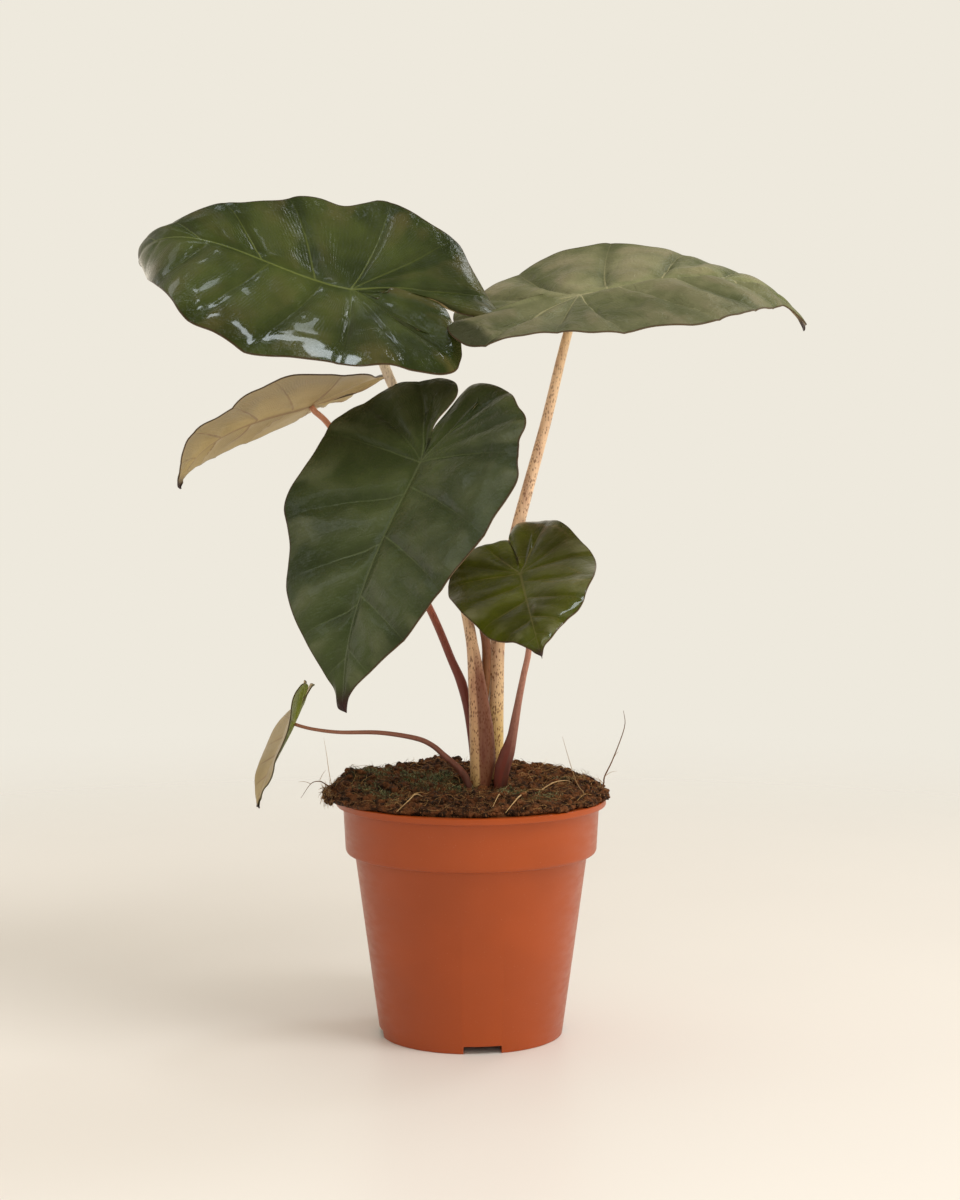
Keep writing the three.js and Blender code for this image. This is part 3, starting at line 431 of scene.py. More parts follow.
class Wiring:
    """Adds and links the nodes of one node tree."""

    def __init__(self, tree):
        self.tree = tree

    def node(self, kind, inputs=None, **settings):
        node = self.tree.nodes.new(kind)
        for name, value in settings.items():
            setattr(node, name, value)
        for key, value in (inputs or {}).items():
            self.feed(node.inputs[key], value)
        return node

    def feed(self, socket, value):
        if isinstance(value, bpy.types.NodeSocket):
            self.tree.links.new(value, socket)
        elif socket.type == "RGBA" and len(value) == 3:
            socket.default_value = (*value, 1)
        else:
            socket.default_value = value

    def shade(self, shader, **values):
        """Feeds a shader's sockets, named by their labels in small letters."""
        for name, value in values.items():
            label = name.replace("_", " ").title().replace("Ior", "IOR")
            self.feed(shader.inputs[label], value)

    def math(self, operation, *values):
        return self.node("ShaderNodeMath", dict(enumerate(values)), operation=operation).outputs[0]

    def fade(self, value, start, end, low=1.0, high=0.0):
        """Goes smoothly from low to high as a value goes from start to end."""
        node = self.node("ShaderNodeMapRange", {0: value, 1: start, 2: end, 3: low, 4: high},
                         interpolation_type="SMOOTHSTEP")
        return node.outputs[0]

    def blend(self, factor, first, second, mode="MIX"):
        node = self.node("ShaderNodeMix", {0: factor, 6: first, 7: second}, data_type="RGBA",
                         blend_type=mode)
        return node.outputs[2]

    def attribute(self, name):
        """The three numbers of a mesh attribute."""
        source = self.node("ShaderNodeAttribute", attribute_name=name)
        return self.node("ShaderNodeSeparateXYZ", {0: source.outputs["Vector"]}).outputs

    def object_place(self, stretch=None):
        place = self.node("ShaderNodeTexCoord").outputs["Object"]
        if stretch is None:
            return place
        return self.node("ShaderNodeMapping", {"Vector": place, "Scale": stretch}).outputs[0]

    def noise(self, size, detail=2.0, vector=None, distortion=0.0):
        """Cloudy noise whose features are about as large as size, in metres."""
        node = self.node("ShaderNodeTexNoise", {
            "Vector": vector or self.object_place(), "Scale": 1 / size, "Detail": detail,
            "Distortion": distortion})
        return node.outputs["Fac"]

    def ramp(self, factor, stops):
        node = self.node("ShaderNodeValToRGB", {0: factor})
        elements = node.color_ramp.elements
        while len(elements) < len(stops):
            elements.new(0.5)
        for element, (place, colour) in zip(elements, stops):
            element.position = place
            element.color = (*colour, 1)
        return node.outputs[0]

    def bump(self, height, distance, strength=1.0):
        node = self.node("ShaderNodeBump", {"Height": height, "Distance": distance,
                                            "Strength": strength})
        return node.outputs[0]

    def use(self, group, inputs):
        node = self.node("ShaderNodeGroup", node_tree=group)
        for name, value in inputs.items():
            self.feed(node.inputs[name], value)
        return node.outputs


def effect_group(name, inputs, outputs):
    """A shader node group with named sockets; returns it, its wiring, inputs and output node."""
    group = bpy.data.node_groups.new(name, "ShaderNodeTree")
    for direction, sockets in (("INPUT", inputs), ("OUTPUT", outputs)):
        for socket, kind in sockets.items():
            group.interface.new_socket(name=socket, in_out=direction, socket_type=kind)
    wiring = Wiring(group)
    entry = wiring.node("NodeGroupInput").outputs
    leave = wiring.node("NodeGroupOutput").inputs
    return group, wiring, entry, leave


def new_material(name, **constants):
    """A material with one Principled shader whose constants are set on its own sockets."""
    material = bpy.data.materials.new(name)
    material.use_nodes = True
    material.node_tree.nodes.clear()
    wiring = Wiring(material.node_tree)
    shader = wiring.node("ShaderNodeBsdfPrincipled")
    output = wiring.node("ShaderNodeOutputMaterial")
    wiring.feed(output.inputs["Surface"], shader.outputs[0])
    wiring.shade(shader, **constants)
    return material, wiring, shader


FLOAT = "NodeSocketFloat"
COLOUR = "NodeSocketColor"


def vein_group():
    """Masks of a blade's veins, its margin, the fine feathering and its painted shade, from the blade's
    attributes.
    """
    name = "Blade veins"
    if name in bpy.data.node_groups:
        return bpy.data.node_groups[name]
    widths = ("Midrib width", "Vein width", "Lines per gap")
    masks = ("Midrib", "Veins", "Feather", "Margin", "Outer", "Tip", "Heart", "Painted vein shade", "Left half",
             "Crest", "Painted lobe shade")
    group, wiring, entry, leave = effect_group(
        name, dict.fromkeys(widths, FLOAT), dict.fromkeys(masks, FLOAT))
    turn, run, gap = wiring.attribute("vein")
    along, across, rim = wiring.attribute("leaf")
    vigour, crest, _ = wiring.attribute("vigour")
    apart = wiring.math("MULTIPLY", wiring.math("PINGPONG", turn, 0.5), gap)
    width = wiring.math("MULTIPLY", entry["Vein width"], wiring.fade(rim, 0.1, 1, 1, 0.35))
    line = wiring.fade(wiring.math("DIVIDE", apart, width), 0.3, 1)
    middle = wiring.math("ABSOLUTE", across)
    thick = wiring.math("MULTIPLY", entry["Midrib width"], wiring.fade(along, 0, 1, 1, 0.2))
    midrib = wiring.fade(wiring.math("DIVIDE", middle, thick), 0.3, 1)
    wander = wiring.math("SUBTRACT", wiring.noise(0.012, 2), 0.5)
    fan = wiring.math("MULTIPLY_ADD", wander, 0.12, turn)
    wave = wiring.math("PINGPONG", wiring.math("MULTIPLY", fan, entry["Lines per gap"]), 0.5)
    beside = wiring.fade(middle, 3, 9, 0, 1)
    shown = wiring.math("MULTIPLY", beside, wiring.fade(rim, 0.8, 1, 1, 0.2))
    painted_vein_shade = wiring.math("MULTIPLY", wiring.fade(apart, 1, 9), wiring.fade(gap, 8, 22, 0, 1))
    right_half = wiring.fade(across, -1, 1)
    # The two painted shade masks: the strip beside the sunken veins and the end of the right lobe
    values = {
        "Midrib": wiring.math("MULTIPLY", midrib, wiring.fade(along, -0.02, 0, 0, 1)),
        "Veins": wiring.math("MULTIPLY", line, vigour),
        "Feather": wiring.math("MULTIPLY", wiring.fade(wave, 0.05, 0.45), shown),
        "Margin": wiring.fade(rim, 0.985, 0.999, 0, 1),
        "Outer": wiring.fade(rim, 0.6, 0.92, 0.22, 1),
        "Tip": wiring.fade(along, 0.9, 0.985, 0, 1),
        "Heart": wiring.fade(run, 0, 75),
        "Painted vein shade": wiring.math("MULTIPLY", painted_vein_shade, vigour),
        "Left half": wiring.fade(across, -1, 1, 0, 1),
        "Crest": crest,
        "Painted lobe shade": wiring.math("MULTIPLY", wiring.fade(along, -0.44, -0.385), right_half),
    }
    for mask, value in values.items():
        wiring.feed(leave[mask], value)
    return group


def mottle_group():
    """Soft cloudy variation between two colours, with a finer grain over it."""
    name = "Soft mottle"
    if name in bpy.data.node_groups:
        return bpy.data.node_groups[name]
    group, wiring, entry, leave = effect_group(
        name,
        {"First": COLOUR, "Second": COLOUR, "Grain": FLOAT},
        {"Colour": COLOUR, "Cloud": FLOAT, "Fine": FLOAT},
    )
    cloud = wiring.noise(0.035, 3)
    fine = wiring.noise(0.0012, 3)
    colour = wiring.blend(wiring.fade(cloud, 0.3, 0.7, 0, 1), entry["First"], entry["Second"])
    dim = wiring.math("MULTIPLY_ADD", wiring.math("SUBTRACT", fine, 0.5), entry["Grain"], 1)
    grey = wiring.node("ShaderNodeCombineColor", {0: dim, 1: dim, 2: dim}).outputs[0]
    wiring.feed(leave["Colour"], wiring.blend(1.0, colour, grey, "MULTIPLY"))
    wiring.feed(leave["Cloud"], cloud)
    wiring.feed(leave["Fine"], fine)
    return group


def painted_blade_shade(wiring, look, veins):
    """Painted shade on a blade: beside its veins, in its hollows, on the end of its right lobe and over its
    right half.
    """
    beside = wiring.math("MULTIPLY", veins["Painted vein shade"], look["painted_vein_shade"])
    painted_hollow_shade = wiring.fade(veins["Crest"], 0, 0.5, 0.5 * look["crest"], 0)
    lobe = wiring.math("MULTIPLY", veins["Painted lobe shade"], look.get("painted_lobe_shade", 0))
    painted_right_shade = look.get("painted_right_shade", 0)
    right = wiring.math("MULTIPLY_ADD", veins["Left half"], -painted_right_shade, painted_right_shade)
    shade = wiring.math("MAXIMUM", beside, painted_hollow_shade)
    return wiring.math("MAXIMUM", wiring.math("MAXIMUM", shade, lobe), right)


def blade_lines(wiring, look, veins):
    """How plainly a blade's main veins and midrib show."""
    lines = look["lines"]
    plain = wiring.math("MULTIPLY_ADD", veins["Heart"], 0.7 * lines, 0.3 * lines)
    sided = wiring.math("MULTIPLY_ADD", veins["Left half"], look["left_lines"] - 1, 1)
    plain = wiring.math("MULTIPLY", plain, sided)
    return wiring.math("MAXIMUM", wiring.math("MULTIPLY", veins["Veins"], plain),
                       wiring.math("MULTIPLY", veins["Midrib"], lines))


def blade_colour(wiring, look, veins, mottle, settings):
    """A blade's mottled green with feathering, painted crest sheen, painted shade, veins, margin and drip
    tip.
    """
    vein, deep = from_hex(look["vein"]), from_hex(look["deep"])
    near_heart = wiring.blend(1.0, mottle["Colour"], (1.3, 1.3, 1.3), "MULTIPLY")
    colour = wiring.blend(veins["Heart"], mottle["Colour"], near_heart)
    feathered = wiring.math("MULTIPLY", veins["Feather"], 0.12 * look["feather"])
    colour = wiring.blend(feathered, colour, vein)
    # Painted sheen on the crests: the high colour, stronger towards the margin and broken up by noise
    outer = wiring.math("MULTIPLY_ADD", veins["Outer"], 1 - look["spread"], look["spread"])
    broken = wiring.fade(wiring.noise(0.022, 3), 0.36, 0.64, 0.25, 1)
    crests = wiring.fade(veins["Crest"], 0.5, 1, 0, look["crest"])
    painted_crest_sheen = wiring.math("MULTIPLY", outer, wiring.math("MULTIPLY", broken, crests))
    colour = wiring.blend(painted_crest_sheen, colour, from_hex(look["high"]))
    # Painted shade beside the veins, in the hollows, on the end of the right lobe and over the right half
    colour = wiring.blend(painted_blade_shade(wiring, look, veins), colour, tuple(c * 0.35 for c in deep))
    colour = wiring.blend(blade_lines(wiring, look, veins), colour, vein)
    margin = wiring.math("MULTIPLY", veins["Margin"], 0.7)
    colour = wiring.blend(margin, colour, settings.margin[:])
    return wiring.blend(veins["Tip"], colour, settings.tip[:])


def blade_material(leaf_name, look, settings):
    """The upper face of one blade."""
    material, wiring, shader = new_material(
        f"blade face {leaf_name}", ior=1.45, coat_roughness=0.07,
        specular_ior_level=look["shine"])
    veins = wiring.use(vein_group(), {"Midrib width": 1.2, "Vein width": 0.8, "Lines per gap": 19})
    mottle = wiring.use(mottle_group(), {"First": from_hex(look["deep"]),
                                         "Second": from_hex(look["light"]), "Grain": 0.35})
    waxy = wiring.math("MULTIPLY", veins["Outer"], veins["Left half"])
    waxy = wiring.math("MULTIPLY", waxy, wiring.fade(veins["Tip"], 0, 0.6))
    inner_coat = look["coat"] * look["inner_coat"]
    cloud = wiring.math("SUBTRACT", mottle["Cloud"], 0.5)
    rough = wiring.math("MULTIPLY_ADD", cloud, 0.3, look["rough"] + look["dull"])
    rough = wiring.math("MULTIPLY_ADD", waxy, -look["dull"], rough)
    grain = wiring.math("MULTIPLY", wiring.noise(0.0022, 2), 0.35)
    height = wiring.math("MULTIPLY_ADD", veins["Feather"], -look["feather"], grain)
    crinkle = wiring.math("MULTIPLY", veins["Outer"], look["crinkle"])
    height = wiring.math("MULTIPLY_ADD", wiring.noise(0.006, 3), crinkle, height)
    pucker = wiring.noise(0.011, 2, distortion=1.2)
    height = wiring.math("MULTIPLY_ADD", pucker, look["pucker"], height)
    wiring.shade(
        shader,
        base_color=blade_colour(wiring, look, veins, mottle, settings),
        coat_weight=wiring.math("MULTIPLY_ADD", waxy, look["coat"] * (1 - look["inner_coat"]), inner_coat),
        roughness=wiring.math("ADD", rough, wiring.math("MULTIPLY", mottle["Fine"], 0.06)),
        normal=wiring.bump(height, 0.0004))
    return material


def underside_material(settings):
    """The underside that all blades share: khaki with darker veins."""
    name = "blade underside"
    if name in bpy.data.materials:
        return bpy.data.materials[name]
    material, wiring, shader = new_material(name, ior=1.4)
    veins = wiring.use(vein_group(), {"Midrib width": 2.2, "Vein width": 1.1, "Lines per gap": 19})
    base = settings.underside[:]
    pale = tuple(c * 1.18 for c in base)
    mottle = wiring.use(mottle_group(), {"First": base, "Second": pale, "Grain": 0.3})
    shown = wiring.math("MAXIMUM", veins["Veins"], veins["Midrib"])
    colour = mottle["Colour"]
    for mask, share, tint in ((veins["Feather"], 0.12, from_hex("7a6844")),
                              (shown, 0.55, from_hex("7c5a40")),
                              (veins["Margin"], 0.85, settings.margin[:]),
                              (veins["Tip"], 1, settings.tip[:])):
        colour = wiring.blend(wiring.math("MULTIPLY", mask, share), colour, tint)
    grain = wiring.math("MULTIPLY", mottle["Fine"], 0.3)
    height = wiring.math("MULTIPLY_ADD", veins["Feather"], 0.4, grain)
    wiring.shade(shader, base_color=colour, roughness=wiring.fade(mottle["Cloud"], 0.3, 0.7, 0.42, 0.55),
                 normal=wiring.bump(height, 0.0003))
    return material


def new_piece(name, bm, materials):
    """Turns a bmesh into a smooth object that rides on the plant's body."""
    mesh = bpy.data.meshes.new(name)
    bm.to_mesh(mesh)
    bm.free()
    piece = bpy.data.objects.new(name, mesh)
    bpy.context.scene.collection.objects.link(piece)
    for material in materials:
        mesh.materials.append(material)
    mesh.polygons.foreach_set("use_smooth", [True] * len(mesh.polygons))
    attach(piece, BODY)
    return piece


def set_vertices(verts, places, layers):
    """Moves vertices to places in millimetres and fills their layers, given as (layer, vectors)."""
    for number, (vert, place) in enumerate(zip(verts, places * MM)):
        vert.co = place
        for layer, vectors in layers:
            vert[layer] = vectors[number]


def as_vectors(values):
    """Single numbers as the first part of three, for a vector layer."""
    return np.column_stack([values, np.zeros((len(values), 2))])


def unit_rows(vectors):
    """Each row of an array, scaled to length 1."""
    return vectors / np.maximum(np.linalg.norm(vectors, axis=1), LEAST)[:, None]


def value_noise(points, size, seed):
    """Smooth noise between -1 and 1, with lumps about as large as size, at an array of points."""
    scaled = np.asarray(points) / size + seed * 7.31
    cell = np.floor(scaled).astype(np.int64)
    part = scaled - cell
    part = part * part * (3 - 2 * part)
    total = 0
    for corner in itertools.product((0, 1), repeat=3):
        key = ((cell + corner) * (374761393, 668265263, 1274126177)).sum(-1) & 0xFFFFFFFF
        key = ((key ^ (key >> 13)) * 1103515245) & 0xFFFFFFFF
        key = ((key ^ (key >> 16)) * 12345679) & 0xFFFFFFFF
        weight = np.prod(np.where(np.array(corner) == 1, part, 1 - part), -1)
        total = total + weight * (key / 0x7FFFFFFF - 1)
    return total


def step_between(values, low, high):
    """Rises smoothly from 0 at low to 1 at high."""
    share = np.clip((np.asarray(values) - low) / (high - low), 0, 1)
    return share * share * (3 - 2 * share)


def catmull_rom(points, places):
    """Points of a smooth curve through the given ones, at places from 0 to 1."""
    given = np.asarray(points, float)
    given = np.vstack([2 * given[0] - given[1], given, 2 * given[-1] - given[-2]])
    spans = len(points) - 1
    place = np.clip(np.asarray(places, float), 0, 1) * spans
    span = np.minimum(place.astype(int), spans - 1)
    t = (place - span)[:, None]
    a, b, c, d = (given[span + step] for step in range(4))
    return 0.5 * (2 * b + (c - a) * t + (2 * a - 5 * b + 4 * c - d) * t ** 2
                  + (3 * b - a - 3 * c + d) * t ** 3)


def curve_and_way(route, run, step):
    """Points of a smooth curve at shares of its run, and the way it goes there."""
    ahead, behind = catmull_rom(route, run + step), catmull_rom(route, run - step)
    return catmull_rom(route, run), unit_rows(ahead - behind)


def ring_places(centre, first, second, radius, angle):
    """Places on rings round a curve, given two directions across it."""
    return (centre + first * (radius * np.cos(angle))[:, None]
            + second * (radius * np.sin(angle))[:, None])


def grid_points(bm, columns, rows):
    """Adds a grid to a bmesh; returns its vertices and their column and row numbers."""
    grid = bmesh.ops.create_grid(bm, x_segments=columns, y_segments=rows, size=1)["verts"]
    spots = np.array([vert.co[:] for vert in grid])
    low, high = spots.min(0), spots.max(0)
    share = (spots[:, :2] - low[:2]) / (high - low)[:2]
    numbers = np.rint(share * (columns, rows)).astype(int)
    return grid, numbers[:, 0], numbers[:, 1]


def half_spokes(count):
    """Spokes of half a blade: turn round the outline, root on the skeleton, place on the outline."""
    lobe = round(count * 0.54 / 2)
    onward = count - 2 * lobe
    step = np.arange(count + 1)
    into_lobe = np.maximum(np.minimum(step, 2 * lobe - step) / lobe, 0)
    along_midrib = np.maximum((step - 2 * lobe) / onward, 0)
    turn = np.where(step <= lobe, LOBE_TURN * step / lobe,
                    LOBE_TURN + (LOBE_ROOT - LOBE_TURN) * (step - lobe) / lobe)
    turn = np.where(step > 2 * lobe, LOBE_ROOT + (1 - LOBE_ROOT) * along_midrib, turn)
    rim = catmull_rom(HALF_OUTLINE, turn)
    root = np.outer(into_lobe, LOBE_RIB_END)
    root[:, 0] += MIDRIB_END * along_midrib
    return turn * math.pi, root, rim


def solved_veins(spots, shift):
    """For places in half a blade: the vein number there, and where along the midrib it starts."""
    starts, angles, _ = (np.array(values, float) for values in zip(*VEINS))
    numbers = np.linspace(0, len(VEINS) - 1, 60 * (len(VEINS) - 1) + 1)
    start = np.interp(numbers, np.arange(len(VEINS)), starts)
    start = start + shift * np.clip(start / 0.1, 0, 1)
    angle = np.radians(np.interp(numbers, np.arange(len(VEINS)), angles))
    ahead = spots[:, :1] - start
    out = spots[:, 1:2]
    bent = angle - math.radians(VEIN_SWEEP) * np.hypot(ahead, out)
    side = bent - np.arctan2(out, ahead)
    late = np.argmax(side < 0, axis=1)
    late = np.where(side.min(1) >= 0, len(numbers) - 1, np.maximum(late, 1))
    rows = np.arange(len(spots))
    before, after = side[rows, late - 1], side[rows, late]
    part = np.clip(before / np.where(before == after, 1, before - after), 0, 1)
    number = np.interp(late - 1 + part, np.arange(len(numbers)), numbers)
    return number, np.interp(number, numbers, start)


VEIN_MAPS = {}
MAP_CORNER = (-0.62, 0.0)
MAP_STEP = 0.005
MAP_SIZE = (340, 106)


def vein_map(shift):
    """The vein field of half a blade on a fine grid, worked out once: number, start and gap."""
    if shift not in VEIN_MAPS:
        u = MAP_CORNER[0] + MAP_STEP * np.arange(MAP_SIZE[0])
        v = MAP_CORNER[1] + MAP_STEP * np.arange(MAP_SIZE[1])
        spots = np.stack(np.meshgrid(u, v, indexing="ij"), -1).reshape(-1, 2)
        number, start = (values.reshape(MAP_SIZE) for values in solved_veins(spots, shift))
        slopes = np.gradient(number, MAP_STEP)
        gap = 1 / np.maximum(np.hypot(*slopes), 1.2)
        VEIN_MAPS[shift] = np.stack([number, start, gap], -1)
    return VEIN_MAPS[shift]


def vein_places(spots, shift):
    """For places in half a blade: the vein number there, the run along it and the gap between veins."""
    values = vein_map(shift)
    place = (spots - MAP_CORNER) / MAP_STEP
    place = np.clip(place, 0, np.array(MAP_SIZE) - 1.001)
    cell = place.astype(int)
    i, j = cell.T
    a, b = (place - cell).T[:, :, None]
    mixed = ((1 - a) * ((1 - b) * values[i, j] + b * values[i, j + 1])
             + a * ((1 - b) * values[i + 1, j] + b * values[i + 1, j + 1]))
    number, start, gap = mixed.T
    run = np.hypot(spots[:, 0] - start, spots[:, 1])
    return number, run, gap


def flat_places(leaf, side, spots):
    """Places of half a blade in its own flat millimetres."""
    along, across = spots[:, 0], spots[:, 1]
    behind = np.maximum(-along - NOTCH_FOOT, 0)
    blunt = 1 + side.get("blunt", 0) * (across / LOBE_MIDDLE - 1)
    reach = np.where(behind > 0, -NOTCH_FOOT - behind * side["lobe"] * blunt, along)
    taper = 1 - side["taper"] * np.maximum(along, 0)
    spread = np.where(across > 0, side["spread"] * (behind / LOBE_REACH) ** 1.5, 0)
    return np.stack([reach, across * side["width"] * taper + spread], -1) * leaf["length"]


def blade_axes(leaf):
    """The blade's own directions: along the midrib, to its left, and up from its face."""
    heading, pitch, roll = (math.radians(leaf[key]) for key in ("heading", "pitch", "roll"))
    along = np.array([math.cos(heading) * math.cos(pitch), math.sin(heading) * math.cos(pitch),
                      math.sin(pitch)])
    level = np.array([-math.sin(heading), math.cos(heading), 0])
    up = np.cross(along, level)
    left = level * math.cos(roll) + up * math.sin(roll)
    return along, left, up * math.cos(roll) - level * math.sin(roll)


def bent_places(leaf, flat, rim, turn, lift):
    """Where flat places lie once the blade is folded, domed, waved, bent and placed."""
    length = leaf["length"]
    x, y = flat[:, 0], flat[:, 1]
    fold = np.where(y >= 0, leaf["left"]["fold"], leaf["right"]["fold"])
    dome = np.where(y >= 0, leaf["left"]["dome"], leaf["right"]["dome"])
    softness = FOLD_SOFTNESS * length
    margin = np.minimum(np.abs(y) / (WAVE_START * length), 1) * rim ** WAVE_POWER
    height, count, phase = leaf["wave"]
    rise = fold * (np.hypot(y, softness) - softness) + dome * y * y / length + lift
    rise = rise + height * length * np.sin(count * turn + phase) * margin
    share = x / length
    dense = np.linspace(-0.9, 1.2, 421)
    bend = np.radians(np.where(dense >= 0, leaf["droop"] * dense + leaf["curl"] * dense ** 3,
                               leaf["lobe_bend"] * dense))
    steps = np.diff(dense)
    forward = np.concatenate([[0], np.cumsum((np.cos(bend[1:]) + np.cos(bend[:-1])) / 2 * steps)])
    drop = np.concatenate([[0], np.cumsum((np.sin(bend[1:]) + np.sin(bend[:-1])) / 2 * steps)])
    forward -= np.interp(0, dense, forward)
    drop -= np.interp(0, dense, drop)
    angle = np.interp(share, dense, bend)
    twist = np.radians(leaf["twist"]) * share
    across = y * np.cos(twist) - rise * np.sin(twist) + leaf["sway"] * length * share * np.abs(share)
    above = y * np.sin(twist) + rise * np.cos(twist)
    ahead = np.interp(share, dense, forward) * length + above * np.sin(angle)
    over = -np.interp(share, dense, drop) * length + above * np.cos(angle)
    along, left, face = blade_axes(leaf)
    place = np.array(leaf["attachment"]) + np.outer(ahead, along)
    return place + np.outer(across, left) + np.outer(over, face)


def blade_relief(look, length, sheet):
    """Height in millimetres of the sunken veins, bulges and ripples, and how near a place is to a crest."""
    number, run, gap, rim, along = sheet.number, sheet.run, sheet.gap, sheet.share, sheet.along
    flat, across, quilt = sheet.flat, sheet.across, look["quilt"]
    apart = np.abs(number - np.rint(number)) * gap
    heart = step_between(np.hypot(*flat.T), 2, 0.09 * length)
    inner = step_between(np.abs(across), 0, 0.04 * length) * heart
    fading = (1 - 0.65 * step_between(rim, 0.4, 1)) * (1 - 0.75 * step_between(along, 0.6, 0.95))
    pillow = 1 - (1 - np.clip(2 * apart / gap, 0, 1)) ** 2
    full = np.clip(gap / (0.16 * length), 0, 1)
    spots = np.column_stack([flat, np.zeros(len(flat))])
    pucker = value_noise(spots, 13, 4) + 0.5 * value_noise(spots, 6, 5)
    folds = np.column_stack([3.1 * number, run / (0.3 * length), np.where(across >= 0, 3.0, 9.0)])
    long_fold = value_noise(folds, 1, 4)
    bulge = (pillow - 0.5) * (1 + 0.5 * long_fold) + 0.6 * long_fold + 0.22 * pucker
    crest = step_between((bulge + 0.2 * pucker) * full * inner, -0.6, 0.8)
    bulge = quilt * bulge * full * inner * fading
    groove = -0.35 * quilt * sheet.vigour * np.exp(-(apart / 1.5) ** 2) * fading
    midrib = -0.4 * quilt * np.exp(-(across / 2.2) ** 2) * step_between(along, -0.03, 0.03)
    slanted = np.sin(2 * np.pi * (run + 0.5 * apart + 1.5 * pucker) / 5.6)
    beside = np.exp(-((apart - 4.2) / 3.2) ** 2) * step_between(run, 0.16 * length, 0.3 * length)
    ripple = np.where(across >= 0, *look["ripple"]) * slanted * beside * sheet.vigour
    ripple = ripple * step_between(pucker, -0.6, 0.5) * (1 - rim ** 6)
    height = (bulge + (groove + ripple) * heart) * step_between(rim, 0, 0.2)
    return height + midrib * (0.2 + 0.8 * heart), crest


def margin_shift(name, flat_rim, turn):
    """For each spoke, how the margin's own bumps and nicks move its end, in flat millimetres."""
    shifts = np.array(MARGINS[name] + MARGINS[name][:1]).reshape(-1, 1)
    size = catmull_rom(shifts, turn / (2 * math.pi))
    along = np.roll(flat_rim[:-1], -1, 0) - np.roll(flat_rim[:-1], 1, 0)
    along = np.vstack([along, along[:1]])
    out = np.column_stack([-along[:, 1], along[:, 0]])
    return size * unit_rows(out)


def margin_lift(name, share, half_turn, left):
    """How the turned-down margin and the overlap of the lobes lift a blade off its plain shape."""
    hem, left_lift, right_lift = HEMS[name]
    down = -hem * np.clip((share - 0.74) / 0.26, 0, 1) ** 2 * step_between(half_turn, 0.05, 0.2)
    overlap = step_between(half_turn, 0.01, 0.05) * (1 - step_between(half_turn, 0.22, 0.34))
    return down + np.where(left, left_lift, right_lift) * overlap * share ** 2


# A blade's mesh: the rows round its edge, how much closer rows lie towards the margin, how much further
# along the midrib the right half's veins start, how fast the margin's bumps fade inwards, and the step in
# millimetres that finds a blade's slope
EDGE_ROWS = 3
ROW_CROWDING = 1.25
RIGHT_VEIN_SHIFT = 0.035
MARGIN_POWER = 1.5
PROBE = 0.05


def blade_rows(look):
    """How many rows of a blade's grid are on its underside, and how many it has in all."""
    under_rows = look["rows"] // 2
    return under_rows, look["rows"] + 1 + EDGE_ROWS + under_rows


def flat_sheet(name, leaf, look, column, row):
    """Where each vertex of a blade's grid lies on the flat blade and among its veins."""
    count, rows = look["columns"], look["rows"]
    under_rows, total = blade_rows(look)
    turn, root, rim = half_spokes(count)
    left, top, under = column <= count, row <= rows, row > rows + EDGE_ROWS
    spoke = np.where(left, column, 2 * count - column)
    share = np.where(top, row / rows, np.where(under, (total - row) / under_rows, 1.0))
    share = 1 - (1 - share) ** ROW_CROWDING
    spots = root[spoke] + share[:, None] * (rim[spoke] - root[spoke])
    flat = np.zeros_like(spots)
    number, run, gap = (np.zeros(len(spots)) for _ in range(3))
    for mask, side, sign, shift in ((left, leaf["left"], 1, 0),
                                    (~left, leaf["right"], -1, RIGHT_VEIN_SHIFT)):
        start = flat_places(leaf, side, root[spoke][mask])
        end = flat_places(leaf, side, rim[spoke][mask])
        flat[mask] = (start + share[mask, None] * (end - start)) * (1, sign)
        number[mask], run[mask], gap[mask] = vein_places(spots[mask], shift)
    signed_turn = np.where(left, turn[spoke], 2 * math.pi - turn[spoke])
    at_rim = row == rows
    ends, turns = np.zeros((2 * count + 1, 2)), np.zeros(2 * count + 1)
    ends[column[at_rim]] = flat[at_rim]
    turns[column[at_rim]] = signed_turn[at_rim]
    turns[-1] = 2 * math.pi
    flat = flat + margin_shift(name, ends, turns)[column] * share[:, None] ** MARGIN_POWER
    nearest = np.rint(number).astype(int)
    return SimpleNamespace(
        left=left, top=top, under=under, share=share, flat=flat, turn=signed_turn, nearest=nearest,
        number=number, run=run * leaf["length"], gap=gap * leaf["length"],
        vigour=np.array([vein[2] for vein in VEINS])[nearest], along=spots[:, 0], across=flat[:, 1],
        lift=margin_lift(name, share, turn[spoke] / math.pi, left),
        edge_angle=np.pi * (row - rows) / (EDGE_ROWS + 1))


def rib_depths(sheet, settings):
    """How deep the midrib, the lobes' ribs and the side veins stand under a blade, in millimetres."""
    midrib_depth, side_depth = settings.rib_depth / MM, settings.side_rib_depth / MM
    apart = np.abs(sheet.number - sheet.nearest) * sheet.gap
    inward = (1 - sheet.share) ** 0.5
    slimming = 1 - 0.85 * np.clip(sheet.along, 0, 1)
    midrib = midrib_depth * np.exp(-(sheet.across / 1.9) ** 2) * slimming
    midrib = midrib * step_between(sheet.along, -0.09, 0)
    lobe = 0.8 * midrib_depth * np.exp(-(apart / 1.6) ** 2) * (sheet.nearest == 1)
    side = side_depth * sheet.vigour * np.exp(-(apart / 1.1) ** 2)
    return np.maximum(midrib, np.maximum(lobe * inward, side) * inward)


